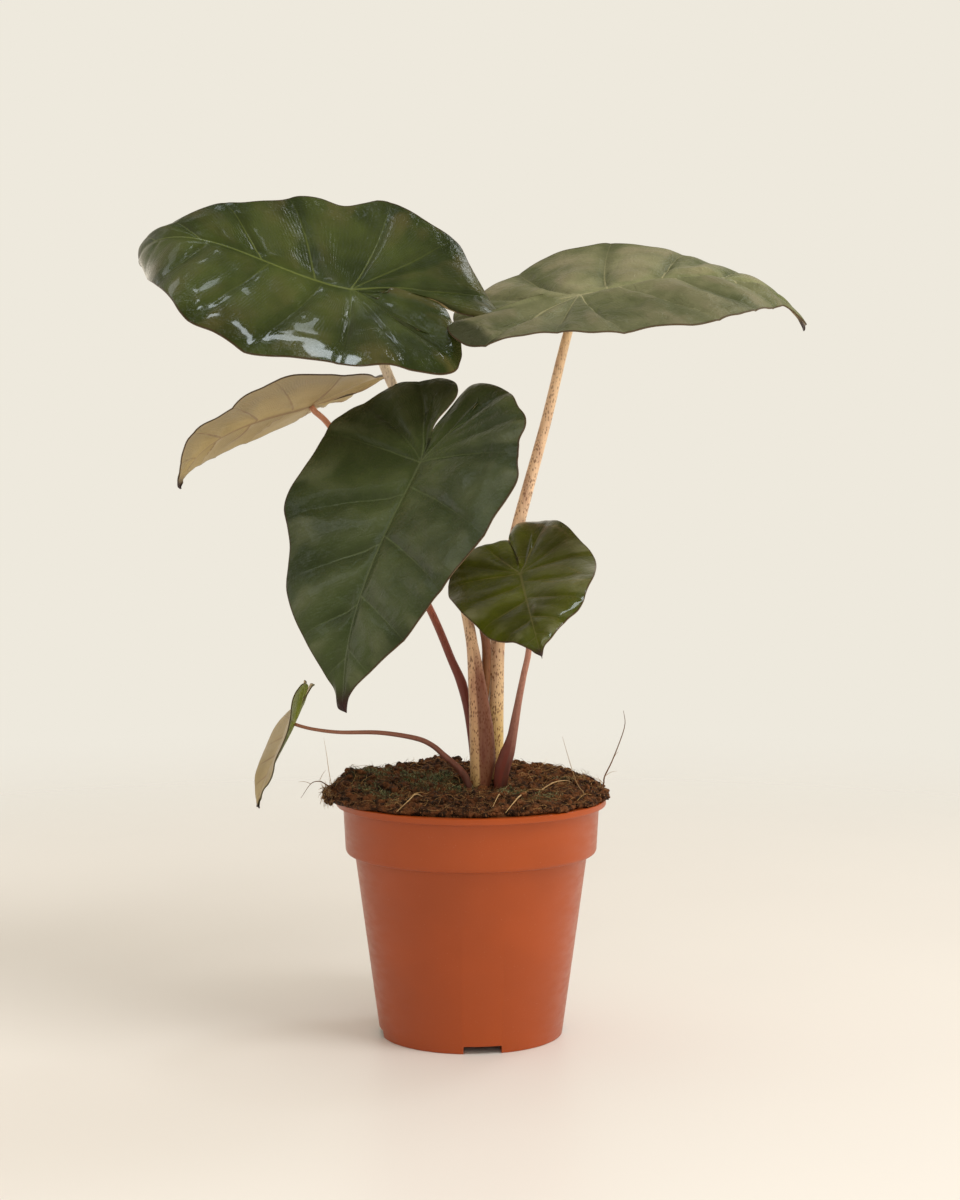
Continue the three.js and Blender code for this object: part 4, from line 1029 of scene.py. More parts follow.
def sheet_places(sheet, leaf, relief, settings):
    """Where the vertices of a blade's upper face, rounded edge and ribbed underside lie."""

    def placed(shift=(0, 0)):
        return bent_places(leaf, sheet.flat + shift, sheet.share, sheet.turn, sheet.lift)

    here = placed()
    normal = unit_rows(np.cross(placed((PROBE, 0)) - here, placed((0, PROBE)) - here))
    outward = here - placed(-0.02 * sheet.flat)
    outward = unit_rows(outward - normal * (outward * normal).sum(-1)[:, None])
    thick = settings.thickness / MM
    edge = ~sheet.top & ~sheet.under
    depth = np.where(sheet.under, thick + rib_depths(sheet, settings), 0)
    depth = np.where(edge, thick / 2 * (1 - np.cos(sheet.edge_angle)), depth)
    outreach = np.where(edge, thick / 2 * np.sin(sheet.edge_angle), 0)
    return here + normal * (relief - depth)[:, None] + outward * outreach[:, None]


def build_blade(name, leaf, look, settings):
    """One blade as a closed sheet: its upper face, a rounded edge, and its underside with raised ribs."""
    last_column = 2 * look["columns"]
    bm = bmesh.new()
    layers = [bm.verts.layers.float_vector.new(key) for key in ("vein", "leaf", "vigour")]
    verts, column, row = grid_points(bm, last_column, blade_rows(look)[1])
    sheet = flat_sheet(name, leaf, look, column, row)
    relief, crest = blade_relief(look, leaf["length"], sheet)
    places = sheet_places(sheet, leaf, relief, settings)
    # The two halves meet between the lobes: the first and the last column are the same points there
    first, last = column == 0, column == last_column
    seam = (places[first] + places[last]) / 2
    places[first] = seam
    places[last] = seam
    set_vertices(verts, places, list(zip(layers, (
        np.stack([sheet.number, sheet.run, sheet.gap], -1),
        np.stack([sheet.along, sheet.across, sheet.share], -1),
        np.stack([sheet.vigour, crest, np.zeros(len(crest))], -1)))))
    beneath = {vert.index for vert, flag in zip(verts, ~sheet.top) if flag}
    for face in bm.faces:
        face.material_index = int(all(vert.index in beneath for vert in face.verts))
    bmesh.ops.remove_doubles(bm, verts=bm.verts, dist=BLADE_MERGE)
    bmesh.ops.recalc_face_normals(bm, faces=bm.faces)
    faces = [blade_material(name, look, settings), underside_material(settings)]
    if look.get("reversed"):
        faces.reverse()
    piece = new_piece(f"leaf_{name}", bm, faces)
    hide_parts(f"blade_{name}")


def mesh_places(mesh):
    """The places of a mesh's vertices as an array."""
    places = np.zeros(len(mesh.vertices) * 3)
    mesh.vertices.foreach_get("co", places)
    return places.reshape(-1, 3)


def tube_template(sides, rings):
    """A closed tube as a mesh, with each vertex's angle round it and its share of the way up."""
    bm = bmesh.new()
    bmesh.ops.create_cone(
        bm, cap_ends=True, cap_tris=False, segments=sides, radius1=1, radius2=1, depth=1)
    upright = [edge for edge in bm.edges if abs(edge.verts[0].co.z - edge.verts[1].co.z) > 0.5]
    bmesh.ops.subdivide_edges(bm, edges=upright, cuts=rings - 1, use_grid_fill=True)
    mesh = bpy.data.meshes.new("tube pattern")
    bm.to_mesh(mesh)
    bm.free()
    places = mesh_places(mesh)
    return mesh, np.arctan2(places[:, 1], places[:, 0]), places[:, 2] + 0.5


def copies(mesh, count):
    """A bmesh that holds count copies of a mesh, one after another."""
    bm = bmesh.new()
    for _ in range(count):
        bm.from_mesh(mesh)
    bpy.data.meshes.remove(mesh)
    return bm


def stalk_material(name, look, settings):
    """One leaf stalk: its own colours from the corm upwards, rosy streaks and dark speckles."""
    material, wiring, shader = new_material(f"stalk {name}", ior=1.42)
    run, _, wing = wiring.attribute("stalk")
    cloud = wiring.math("SUBTRACT", wiring.noise(0.02, 2), 0.5)
    drift = wiring.math("MULTIPLY_ADD", cloud, 0.12, run)
    colour = wiring.ramp(drift, [(place, from_hex(code)) for place, code in look["stops"]])
    streaks = wiring.noise(0.004, 3, wiring.object_place((1, 1, 0.12)))
    colour = wiring.blend(wiring.fade(streaks, 0.45, 0.72, 0, 0.4), colour, settings.blush[:])
    spots = wiring.node("ShaderNodeTexVoronoi", {
        "Vector": wiring.object_place((1, 1, 0.45)), "Scale": 850, "Randomness": 1})
    size = wiring.fade(wiring.noise(0.006, 3), 0.3, 0.62, 0.2, 0.5)
    spread = wiring.math("DIVIDE", spots.outputs["Distance"], size)
    dots = wiring.fade(spread, 0.5, 1.1, look["speckle"], 0)
    dots = wiring.math("MULTIPLY", dots, wiring.fade(run, 0.6, 0.95, 1, 0.3))
    sheath = wiring.math("MULTIPLY", wing, wiring.fade(streaks, 0.3, 0.6, 0.95, 0.8))
    colour = wiring.blend(sheath, colour, from_hex("63291f"))
    colour = wiring.blend(wiring.math("MULTIPLY", dots, 0.8), colour, settings.speckle[:])
    ridges = wiring.noise(0.0012, 2, wiring.object_place((1, 1, 0.06)))
    wiring.shade(shader, base_color=colour, roughness=wiring.fade(streaks, 0.3, 0.7, 0.36, 0.5),
                 normal=wiring.bump(ridges, 0.00035))
    return material


# A stalk's mesh, how far in millimetres its neck ends below the attachment and then rises towards the
# blade, and how much a sheath wing's reach is drawn out
STALK_RINGS = 150
STALK_SIDES = 28
NECK_DEPTH = 3.6
NECK_RISE = 1.4
WING_SHARE = 1.08


def build_stalk(name, leaf, look, settings):
    """One stalk as a fine tube on the solid's own route, with its sheath wing and flared foot and neck."""
    face = blade_axes(leaf)[2]
    neck = np.array(leaf["attachment"], float) - NECK_DEPTH * face
    top_radius = leaf["stalk"][-1][3]
    route = np.array([*leaf["stalk"], (*neck, top_radius, 0)], float)
    mesh, angle, run = tube_template(STALK_SIDES, STALK_RINGS)
    bm = copies(mesh, 1)
    stations = np.arange(len(route))
    centre, ahead = curve_and_way(route[:, :3], run, 0.002)
    radius, wing = (np.interp(run * stations[-1], stations, route[:, part]) for part in (3, 4))
    depthwise = unit_rows(np.array([0, 1, 0]) - ahead * ahead[:, 1:2])
    sideways = np.cross(depthwise, ahead)
    facing = np.maximum(0, np.cos(angle - math.radians(leaf["sheath_turn"])))
    reach = radius + wing * facing ** 3 * WING_SHARE
    around = np.stack([np.cos(angle) * 3, np.sin(angle) * 3, run * 30], -1)
    reach = reach * (1 + 0.02 * value_noise(around, 2.2, len(name)))
    places = ring_places(centre, sideways, depthwise, reach, angle)
    places = places + face * (step_between(run, 0.985, 1) * NECK_RISE)[:, None]
    layer = bm.verts.layers.float_vector.new("stalk")
    sheath = step_between(facing, 0.15, 0.4) * np.clip(wing / 2, 0, 1)
    set_vertices(bm.verts, places, [(layer, np.stack([run, angle, sheath], -1))])
    bmesh.ops.recalc_face_normals(bm, faces=bm.faces)
    piece = new_piece(f"stalk_{name}", bm, [stalk_material(name, look, settings)])
    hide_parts(f"petiole_{name}")


def pot_material(settings):
    """Moulded plastic: an even orange brown, faint handling marks and a fine skin."""
    material, wiring, shader = new_material(
        "pot plastic", ior=1.4, coat_weight=0.1, coat_roughness=0.2)
    base = settings.colour[:]
    darker = tuple(c * 0.9 for c in base)
    colour = wiring.blend(wiring.fade(wiring.noise(0.05, 3), 0.3, 0.7, 0, 1), base, darker)
    dust = wiring.fade(wiring.noise(0.0008, 2), 0.68, 0.8, 0, 0.25)
    scuffs = wiring.noise(0.012, 4, wiring.object_place((1, 1, 3)))
    wiring.shade(shader, base_color=wiring.blend(dust, colour, from_hex("d39a77")),
                 roughness=wiring.fade(scuffs, 0.3, 0.7, 0.34, 0.44),
                 normal=wiring.bump(wiring.noise(0.0009, 2), 0.00003))
    return material


# The underside of the pot in metres: a pad in the middle, a raised floor and the foot
FLOOR_LIFT = 0.003
UNDERSIDE = [(0, 0), (0.022, 0), (0.024, FLOOR_LIFT), (0.049, FLOOR_LIFT), (0.051, 0)]

# The pot's steps in a full turn, the angle in degrees from which its edges are rounded, its drain notches
# in degrees and metres, and the angle in degrees from which an edge looks crisp
POT_STEPS = 168
ROUNDED_FROM = 12
NOTCHES = 4
NOTCH_TURN = 7.3
NOTCH_DEPTH = 0.016
NOTCH_OVERHANG = 0.004
NOTCH_ROUND = 0.0009
CRISP_FROM = 32


def pot_profile(settings):
    """Half the pot's section as (radius, height): beneath, up the outside, over the lip, down inside."""
    wall, band, foot = settings.wall, settings.band_radius, settings.band_foot
    lip_foot = settings.height - settings.lip_depth
    shoulder = [(settings.body_radius, foot - 0.0052), (band - 0.0022, foot - 0.0042),
                (band - 0.0015, foot - 0.0025)]
    lip = [(band, lip_foot), (settings.lip_radius, lip_foot), (settings.lip_radius, settings.height),
           (band - wall, settings.height)]
    inside = [(radius - wall, height) for radius, height in reversed(shoulder)]
    floor = [(settings.foot_radius - wall, FLOOR_LIFT + wall), (0, FLOOR_LIFT + wall)]
    return [*UNDERSIDE, (settings.foot_radius, 0), *shoulder, *lip, *inside, *floor]


def round_off(bm, edges, size, clamp):
    """Rounds edges off; clamp keeps the rounding from running into its neighbours."""
    bmesh.ops.bevel(bm, geom=edges, offset=size, offset_type="OFFSET", segments=3, profile=0.5,
                    affect="EDGES", material=-1, clamp_overlap=clamp)


def turned_pot(settings):
    """The pot turned from its profile, with its moulded edges rounded."""
    bm = bmesh.new()
    verts = [bm.verts.new((radius, 0, height)) for radius, height in pot_profile(settings)]
    edges = [bm.edges.new(pair) for pair in zip(verts, verts[1:])]
    bmesh.ops.spin(bm, geom=verts + edges, cent=(0, 0, 0), axis=(0, 0, 1), dvec=(0, 0, 0),
                   angle=2 * math.pi, steps=POT_STEPS, use_merge=True, use_normal_flip=False,
                   use_duplicate=False)
    bmesh.ops.remove_doubles(bm, verts=bm.verts, dist=MERGE)
    bmesh.ops.recalc_face_normals(bm, faces=bm.faces)
    sharp = [edge for edge in bm.edges if len(edge.link_faces) == 2
             and abs(edge.verts[0].co.z - edge.verts[1].co.z) < MERGE
             and edge.calc_face_angle(0) > math.radians(ROUNDED_FROM)
             and abs(edge.verts[0].co.xy.length - edge.verts[1].co.xy.length) < 10 * MERGE]
    round_off(bm, sharp, settings.edge_round, clamp=True)
    return bm


def notch_blocks(settings):
    """Blocks with rounded edges that cut the drain notches out of the foot."""
    bm = bmesh.new()
    for notch in range(NOTCHES):
        spin = Matrix.Rotation(math.radians(NOTCH_TURN + 360 / NOTCHES * notch), 4, "Z")
        out = NOTCH_DEPTH / 2 - settings.foot_radius - NOTCH_OVERHANG
        size = (settings.notch_width, NOTCH_DEPTH, 2 * settings.notch_height, 1)
        place = spin @ Matrix.Translation((0, out, 0)) @ Matrix.Diagonal(size)
        box = bmesh.ops.create_cube(bm, size=1, matrix=place)["verts"]
        inward = spin.to_3x3() @ Vector((0, 1, 0))
        radial = {edge for vert in box for edge in vert.link_edges
                  if abs((edge.verts[0].co - edge.verts[1].co).normalized().dot(inward)) > 0.9}
        round_off(bm, list(radial), NOTCH_ROUND, clamp=False)
    return bm


def cut_away(piece, bm):
    """Cuts the shapes of a bmesh out of a piece."""
    mesh = bpy.data.meshes.new("cutter")
    bm.to_mesh(mesh)
    bm.free()
    cutter = bpy.data.objects.new("cutter", mesh)
    bpy.context.scene.collection.objects.link(cutter)
    cut = piece.modifiers.new("cut", "BOOLEAN")
    cut.operation, cut.solver, cut.object = "DIFFERENCE", "EXACT", cutter
    depsgraph = bpy.context.evaluated_depsgraph_get()
    finished = bpy.data.meshes.new_from_object(piece.evaluated_get(depsgraph))
    piece.modifiers.clear()
    piece.data = finished
    bpy.data.objects.remove(cutter)


def build_pot(settings):
    """The nursery pot: a turned profile with rounded edges and four drain notches."""
    piece = new_piece("nursery_pot", turned_pot(settings), [pot_material(settings)])
    cut_away(piece, notch_blocks(settings))
    shade_by_angle(piece, CRISP_FROM)
    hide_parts("pot")


def shade_by_angle(piece, degrees):
    """Smooth shading that keeps edges sharper than an angle crisp."""
    bm = bmesh.new()
    bm.from_mesh(piece.data)
    for face in bm.faces:
        face.smooth = True
    for edge in bm.edges:
        edge.smooth = edge.calc_face_angle(0) < math.radians(degrees)
    bm.to_mesh(piece.data)
    bm.free()


# The potting mix, in millimetres: its edge, the clump on its left as (x, y, height, reach), its lumps,
# the root ball below the lip as (radius, height), the mesh's columns, the overhang just under the edge,
# the crumbs and fibres that hang over the lip, and the turn at which they do
MIX_EDGE_RADIUS = 83.5
MIX_EDGE_HEIGHT = 154.4
LEFT_CLUMP = (-72, 6, 6, 22)
LUMP_COUNT = 130
LUMP_SEED = 7
BALL_PROFILE = [(0, 4.8), (56.9, 4.8), (72.6, 117), (77.2, 122.4), (78.8, 151.9)]
BALL_COLUMNS = 260
OVERHANG_INSET = 1.2
OVERHANG_HEIGHT = 152.2
RIM_DROP = 0.6
HANGING_CLODS = 90
HANGING_FIBRES = 110
LEFT = -math.pi / 2


def seeded_stream(seed):
    """The repeatable stream of draws that also places the lumps in the solid mix."""
    state = seed

    def multiply(a, b):
        return (a * b) & 0xFFFFFFFF

    while True:
        state = (state + 0x6D2B79F5) & 0xFFFFFFFF
        mixed = multiply(state ^ (state >> 15), 1 | state)
        mixed = ((mixed + multiply(mixed ^ (mixed >> 7), 61 | mixed)) & 0xFFFFFFFF) ^ mixed
        yield (mixed ^ (mixed >> 14)) / 4294967296


def mix_lumps():
    """The mix's lumps as (x, y, reach, height)."""
    draws = seeded_stream(LUMP_SEED)
    lumps = []
    for _ in range(LUMP_COUNT):
        distance = MIX_EDGE_RADIUS * math.sqrt(next(draws))
        turn = 2 * math.pi * next(draws)
        size = 3.5 + 5.5 * next(draws)
        height = -2.2 + 4.6 * next(draws)
        lumps.append((distance * math.cos(turn), distance * math.sin(turn), size, height))
    return lumps


LUMPS = mix_lumps()


def mix_edge(turn):
    """The mix's radius; the turn is counted from the front towards the right."""
    left = np.maximum(0, -np.sin(turn - 0.1)) ** 4
    right = np.maximum(0, np.sin(turn)) ** 2
    front = np.maximum(0, np.cos(turn)) ** 2
    uneven = 0.9 * (np.sin(11 * turn + 1) + np.sin(19 * turn))
    return MIX_EDGE_RADIUS + 8.5 * left + 3 * right - 3.4 * front + uneven


def edge_radius(turn):
    """The mix's radius at a single turn."""
    return float(mix_edge(np.array(turn)))


def round_place(turn, out):
    """x and y at a distance from the pot's axis; the turn is counted from the front towards the right."""
    return out * math.sin(turn), -out * math.cos(turn)


def hill(x, y, cx, cy, reach):
    """A soft round hill of height 1."""
    return np.exp(-((x - cx) ** 2 + (y - cy) ** 2) / reach ** 2)


def mix_height(x, y, settings):
    """The height of the mix's top over a place, without its fine crumb."""
    share = np.minimum(np.hypot(x, y) / mix_edge(np.arctan2(x, -y)), 1)
    relief = sum(height * hill(x, y, cx, cy, reach) for cx, cy, reach, height in LUMPS)
    base = settings.dome / MM + settings.back_rise / MM * y / MIX_EDGE_RADIUS
    clump_x, clump_y, clump_height, clump_reach = LEFT_CLUMP
    clump = clump_height * hill(x, y, clump_x, clump_y, clump_reach)
    return MIX_EDGE_HEIGHT + (1 - share ** 12) * (base + relief + clump)


def crumb(x, y):
    """The fine relief of the mix, in millimetres."""
    spots = np.stack([x, y, np.zeros_like(x)], -1)
    return (2.1 * value_noise(spots, 8, 1) + 1.8 * value_noise(spots, 3.6, 2)
            + 1.4 * value_noise(spots, 2.3, 3))


def mossiness(x, y):
    """How green the mix is at a place, from 0 to 1."""
    return np.clip(sum(hill(x, y, cx, cy, 0.8 * reach) for cx, cy, reach in MOSS_PATCHES), 0, 1)


def mix_material(settings):
    """Crumbly dark mix with warmer coir flecks; its darkest noise patches are partly painted shade."""
    name = "potting mix"
    if name in bpy.data.materials:
        return bpy.data.materials[name]
    material, wiring, shader = new_material(name, specular_ior_level=0.25)
    cloud = wiring.noise(0.006, 4)
    flecks = wiring.noise(0.0011, 3)
    # Dark noise patches: partly the mix's own dark brown, partly painted shade for its hollows
    colour = wiring.blend(wiring.fade(cloud, 0.4, 0.62, 0, 1), settings.dark[:],
                          from_hex("633c23"))
    colour = wiring.blend(wiring.fade(flecks, 0.55, 0.72, 0, 0.8), colour, settings.warm[:])
    colour = wiring.blend(wiring.fade(wiring.noise(0.0018, 2), 0.68, 0.76, 0, 0.6), colour,
                          from_hex("8b5a34"))
    green = wiring.math("MULTIPLY", wiring.attribute("ground")[0],
                        wiring.fade(wiring.noise(0.0016, 3), 0.38, 0.6, 0.1, 0.85))
    colour = wiring.blend(green, colour, from_hex("3a482a"))
    height = wiring.math("ADD", flecks, wiring.noise(0.003, 3))
    wiring.shade(shader, base_color=colour, roughness=wiring.fade(cloud, 0.3, 0.7, 0.8, 1),
                 normal=wiring.bump(height, 0.0009))
    return material


def tinted_material(name, dark, pale, rough):
    """Fibres, roots and moss: each strand has its own tint between two colours."""
    material, wiring, shader = new_material(name, specular_ior_level=0.3)
    colour = wiring.blend(wiring.attribute("tint")[0], dark, pale)
    patchy = wiring.noise(0.002, 2)
    colour = wiring.blend(wiring.fade(patchy, 0.4, 0.7, 0, 0.35), colour, dark)
    wiring.shade(shader, base_color=colour, roughness=wiring.fade(patchy, 0.3, 0.7, rough - 0.1, rough))
    return material


def build_mix(settings):
    """The root ball: closed, inside the pot below and crumbly above its lip."""
    # Shares of the way from the middle to the edge, from the edge inwards: closer together near it
    shares = [0.995, 0.985, 0.965, 0.94, *np.linspace(0.915, 0.0, 62)]
    overhang = len(BALL_PROFILE)
    rim = overhang + 1
    bm = bmesh.new()
    ground = bm.verts.layers.float_vector.new("ground")
    verts, column, row = grid_points(bm, BALL_COLUMNS, rim + len(shares))
    turn = 2 * np.pi * column / BALL_COLUMNS
    around = np.stack([np.sin(turn) * 84, -np.cos(turn) * 84, np.zeros(len(turn))], -1)
    edge = mix_edge(turn) + 0.9 * value_noise(around, 3.2, 5)
    radius, height = np.zeros(len(turn)), np.zeros(len(turn))
    for place, (r, z) in enumerate(BALL_PROFILE):
        radius[row == place], height[row == place] = r, z
    radius[row == overhang] = edge[row == overhang] - OVERHANG_INSET
    height[row == overhang] = OVERHANG_HEIGHT
    radius[row == rim] = edge[row == rim]
    height[row == rim] = MIX_EDGE_HEIGHT - RIM_DROP
    for place, share in enumerate(shares, rim + 1):
        radius[row == place] = share * edge[row == place]
    x, y = radius * np.sin(turn), -radius * np.cos(turn)
    fine = crumb(x, y) * step_between(edge - radius, 0, 2.5)
    height = np.where(row > rim, mix_height(x, y, settings) + fine, height)
    set_vertices(verts, np.stack([x, y, height], -1), [(ground, as_vectors(mossiness(x, y)))])
    bmesh.ops.remove_doubles(bm, verts=bm.verts, dist=MERGE)
    bmesh.ops.recalc_face_normals(bm, faces=bm.faces)
    piece = new_piece("mix_bed", bm, [mix_material(settings)])
    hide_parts("soil")


def scatter_places(draw, count, outermost):
    """Draws places on the mix, as x and y in millimetres."""
    places = []
    for _ in range(count):
        share = math.sqrt(draw.random()) * outermost
        turn = draw.uniform(0, 2 * math.pi)
        places.append(round_place(turn, share * edge_radius(turn)))
    return np.array(places)


def crumbled(unit, seed):
    """A ball's vertices pushed in and out into an uneven clod."""
    return unit * (1 + 0.45 * value_noise(unit, 0.6, seed)[:, None])


def lying_clod(draw, unit, seed, place, at_rim):
    """One crumb, stretched, turned and half sunk at a place."""
    x, y, z = place
    size = 0.7 + 2.3 * draw.random() ** 2.6
    if at_rim:
        size = 0.6 + 1.7 * draw.random() ** 2
    stretch = np.array([draw.uniform(*span) for span in ((0.7, 1.4), (0.7, 1.3), (0.6, 1))]) * size
    turned = Matrix.Rotation(draw.uniform(0, 6.28), 3, "Z")
    tilted = Matrix.Rotation(draw.uniform(0, 0.9), 3, "X")
    return (crumbled(unit, seed) * stretch) @ np.array(turned @ tilted) + (x, y, z + 0.15 * size)


def hanging_clod(draw, unit, seed):
    """One crumb of the clump that hangs over the lip on the left."""
    turn = draw.gauss(LEFT, 0.15)
    out = edge_radius(turn) + draw.uniform(-2.5, 1.2)
    size = draw.uniform(0.6, 1.8)
    centre = (*round_place(turn, out), MIX_EDGE_HEIGHT + draw.uniform(-4.5, 2))
    return crumbled(unit, seed) * size * (1, 0.8, 1.2) + centre


def build_clods(settings):
    """Loose crumbs of many sizes, half sunk in the mix and thick along its edge."""
    draw = random.Random(settings.seed)
    ball = bmesh.new()
    bmesh.ops.create_icosphere(ball, subdivisions=2, radius=1)
    mesh = bpy.data.meshes.new("clod pattern")
    ball.to_mesh(mesh)
    ball.free()
    unit = mesh_places(mesh)
    rim_count = settings.clods // 3
    inner_count = settings.clods - rim_count
    spots = scatter_places(draw, inner_count, 0.97)
    rim = []
    for _ in range(rim_count):
        turn = draw.uniform(0, 2 * math.pi)
        rim.append(round_place(turn, edge_radius(turn) - draw.uniform(-1, 4)))
    x, y = np.vstack([spots, rim]).T
    levels = mix_height(x, y, settings) + crumb(x, y) * 0.6
    shares = np.array([draw.uniform(0, 1) ** 0.8 for _ in range(rim_count)])
    rises = levels[inner_count:] - MIX_EDGE_HEIGHT + 1.5
    levels[inner_count:] = MIX_EDGE_HEIGHT - 1.2 + shares * rises
    places = [lying_clod(draw, unit, number, place, number >= inner_count)
              for number, place in enumerate(zip(x, y, levels))]
    places += [hanging_clod(draw, unit, number) for number in range(HANGING_CLODS)]
    bm = copies(mesh, len(places))
    set_vertices(bm.verts, np.vstack(places), [])
    new_piece("mix_clods", bm, [mix_material(settings)])


def across_way(overall, ahead):
    """A direction across a strand at each of its points, steady along it."""
    steep = abs(overall[2]) >= 0.8 * np.linalg.norm(overall)
    helper = np.cross(overall, (1, 0, 0) if steep else (0, 0, 1))
    return unit_rows(np.cross(ahead, helper))


def strand_set(name, routes, widths, tints, sides, rings, material):
    """Thin tapering strands, each along its own route, as one piece."""
    mesh, angle, run = tube_template(sides, rings)
    bm = copies(mesh, len(routes))
    layer = bm.verts.layers.float_vector.new("tint")
    places = []
    for route, width in zip(routes, widths):
        route = np.array(route, float)
        centre, ahead = curve_and_way(route, run, 0.02)
        first = across_way(route[-1] - route[0], ahead)
        radius = width * (1 - 0.75 * run ** 2)
        places.append(ring_places(centre, first, np.cross(ahead, first), radius, angle))
    shades = np.repeat(tints, len(run))
    set_vertices(bm.verts, np.vstack(places), [(layer, as_vectors(shades))])
    bmesh.ops.recalc_face_normals(bm, faces=bm.faces)
    new_piece(name, bm, [material])


def lying_fibre(draw, x, y, settings):
    """The route of one coir fibre that starts at a place on the mix."""
    length = draw.uniform(4, 11) if draw.random() < 0.75 else draw.uniform(11, 26)
    turn = draw.uniform(0, 2 * math.pi)
    curl = draw.uniform(-1.2, 1.2)
    tall = draw.uniform(1, 4.5) if length < 8 and draw.random() < 0.7 else 0
    route = []
    for share in (0, 0.25, 0.5, 0.75, 1):
        px = x + length * share * math.cos(turn + curl * share)
        py = y + length * share * math.sin(turn + curl * share)
        out = max(math.hypot(px, py) / edge_radius(math.atan2(px, -py)), 1e-6)
        if out > 1.02:
            px, py = px * 1.02 / out, py * 1.02 / out
        here = np.array([px]), np.array([py])
        level = float(mix_height(*here, settings)[0] + 0.8 * crumb(*here)[0])
        if out > 0.97:
            level = max(level, MIX_EDGE_HEIGHT + 0.5)
        arch = 1.5 * math.sin(math.pi * share) if length > 11 else 0.3
        lift = draw.uniform(-0.4, 1.3) + arch
        route.append((px, py, level + lift + tall * share ** 1.5))
    return route


def hanging_fibre(draw):
    """The route of one fibre that pokes out over the lip on the left."""
    turn = draw.gauss(LEFT, 0.2)
    out = edge_radius(turn)
    level = MIX_EDGE_HEIGHT + draw.uniform(-1, 4)
    reach, drop = draw.uniform(0.5, 5), draw.uniform(-3, 6)
    return [(*round_place(turn + 0.04 * share * drop, out + reach * share), level - drop * share ** 2)
            for share in (-0.4, 0.3, 0.7, 1)]


def build_fibres(settings):
    """Coir fibres that lie on the mix and poke out along its edge."""
    draw = random.Random(settings.seed + 1)
    routes, widths, tints = [], [], []
    for x, y in scatter_places(draw, settings.fibres, 1.0):
        routes.append(lying_fibre(draw, x, y, settings))
        widths.append(draw.uniform(0.09, 0.2))
        tints.append(draw.random() ** 2.4)
    for _ in range(HANGING_FIBRES):
        routes.append(hanging_fibre(draw))
        widths.append(draw.uniform(0.1, 0.24))
        tints.append(draw.random() ** 1.6)
    material = tinted_material("coir fibre", from_hex("4a2c18"), settings.fibre[:], 0.75)
    strand_set("mix_fibres", routes, widths, tints, 4, 6, material)


def upward_way(draw, low, high):
    """A direction at random whose rise is between low and high before it is scaled to length 1."""
    return Vector((draw.uniform(-1, 1), draw.uniform(-1, 1), draw.uniform(low, high))).normalized()


def build_roots(settings):
    """The loose roots that stand out of the mix, with rootlets."""
    draw = random.Random(settings.seed + 2)
    routes = list(LOOSE_ROOTS)
    for parent in ROOTLET_PARENTS:
        base = LOOSE_ROOTS[parent]
        start = Vector(base[draw.randrange(1, len(base) - 1)])
        reach = draw.uniform(5, 11)
        aim = upward_way(draw, 0.1, 1)
        middle = start + aim * reach * 0.5 + Vector((0, 0, 0.8))
        routes.append([start[:], middle[:], (start + aim * reach)[:]])
    rootlets = len(ROOTLET_PARENTS)
    widths = ROOT_RADII + [ROOTLET_RADIUS] * rootlets
    tints = ROOT_TINTS + [ROOTLET_TINT] * rootlets
    material = tinted_material("loose root", from_hex("5b3822"), from_hex("c9a878"), 0.6)
    strand_set("loose_roots", routes, widths, tints, 6, 24, material)


def build_moss(settings):
    """Moss: small pointed leaves in patches on the mix."""
    draw = random.Random(settings.seed + 3)
    routes, widths, tints = [], [], []
    total = sum(reach for *_, reach in MOSS_PATCHES)
    spots = [(draw.gauss(cx, reach / 2), draw.gauss(cy, reach / 2))
             for cx, cy, reach in MOSS_PATCHES
             for _ in range(round(settings.tufts * reach / total))]
    x, y = np.array(spots).T
    inside = np.hypot(x, y) < 0.95 * mix_edge(np.arctan2(x, -y))
    levels = mix_height(x, y, settings) + crumb(x, y)
    for x, y, level in zip(x[inside], y[inside], levels[inside]):
        tall = draw.uniform(0.8, 2.2)
        lean = upward_way(draw, 0.5, 1.2)
        start = Vector((x, y, level - 0.5))
        routes.append([start[:], (start + lean * tall * 0.6)[:], (start + lean * (tall + 0.5))[:]])
        widths.append(draw.uniform(0.12, 0.26))
        tints.append(draw.random() ** 1.4)
    material = tinted_material("moss", from_hex("2c381b"), from_hex("a3a87e"), 0.8)
    strand_set("moss", routes, widths, tints, 4, 2, material)


def corm_material():
    """Brown papery skin with rings."""
    material, wiring, shader = new_material("corm skin", specular_ior_level=0.3)
    rings = wiring.noise(0.003, 3, wiring.object_place((0.3, 0.3, 2)))
    share = wiring.fade(rings, 0.35, 0.65, 0, 1)
    wiring.shade(shader, base_color=wiring.blend(share, from_hex("4d3020"), from_hex("86603e")),
                 roughness=wiring.fade(rings, 0.3, 0.7, 0.7, 0.9), normal=wiring.bump(rings, 0.0006))
    return material


class AlocasiaOperator:
    """What the operators share."""
    bl_options = {"REGISTER", "UNDO"}


class ALOCASIA_OT_pot(AlocasiaOperator, bpy.types.Operator):
    """Model the nursery pot"""
    bl_idname = "alocasia.pot"
    bl_label = "Nursery pot"

    def execute(self, context):
        build_pot(context.scene.alocasia_pot)
        return {"FINISHED"}


class ALOCASIA_OT_mix(AlocasiaOperator, bpy.types.Operator):
    """Model the potting mix with its clods, fibres and moss"""
    bl_idname = "alocasia.mix"
    bl_label = "Potting mix"

    def execute(self, context):
        settings = context.scene.alocasia_mix
        build_mix(settings)
        build_clods(settings)
        build_fibres(settings)
        build_moss(settings)
        return {"FINISHED"}


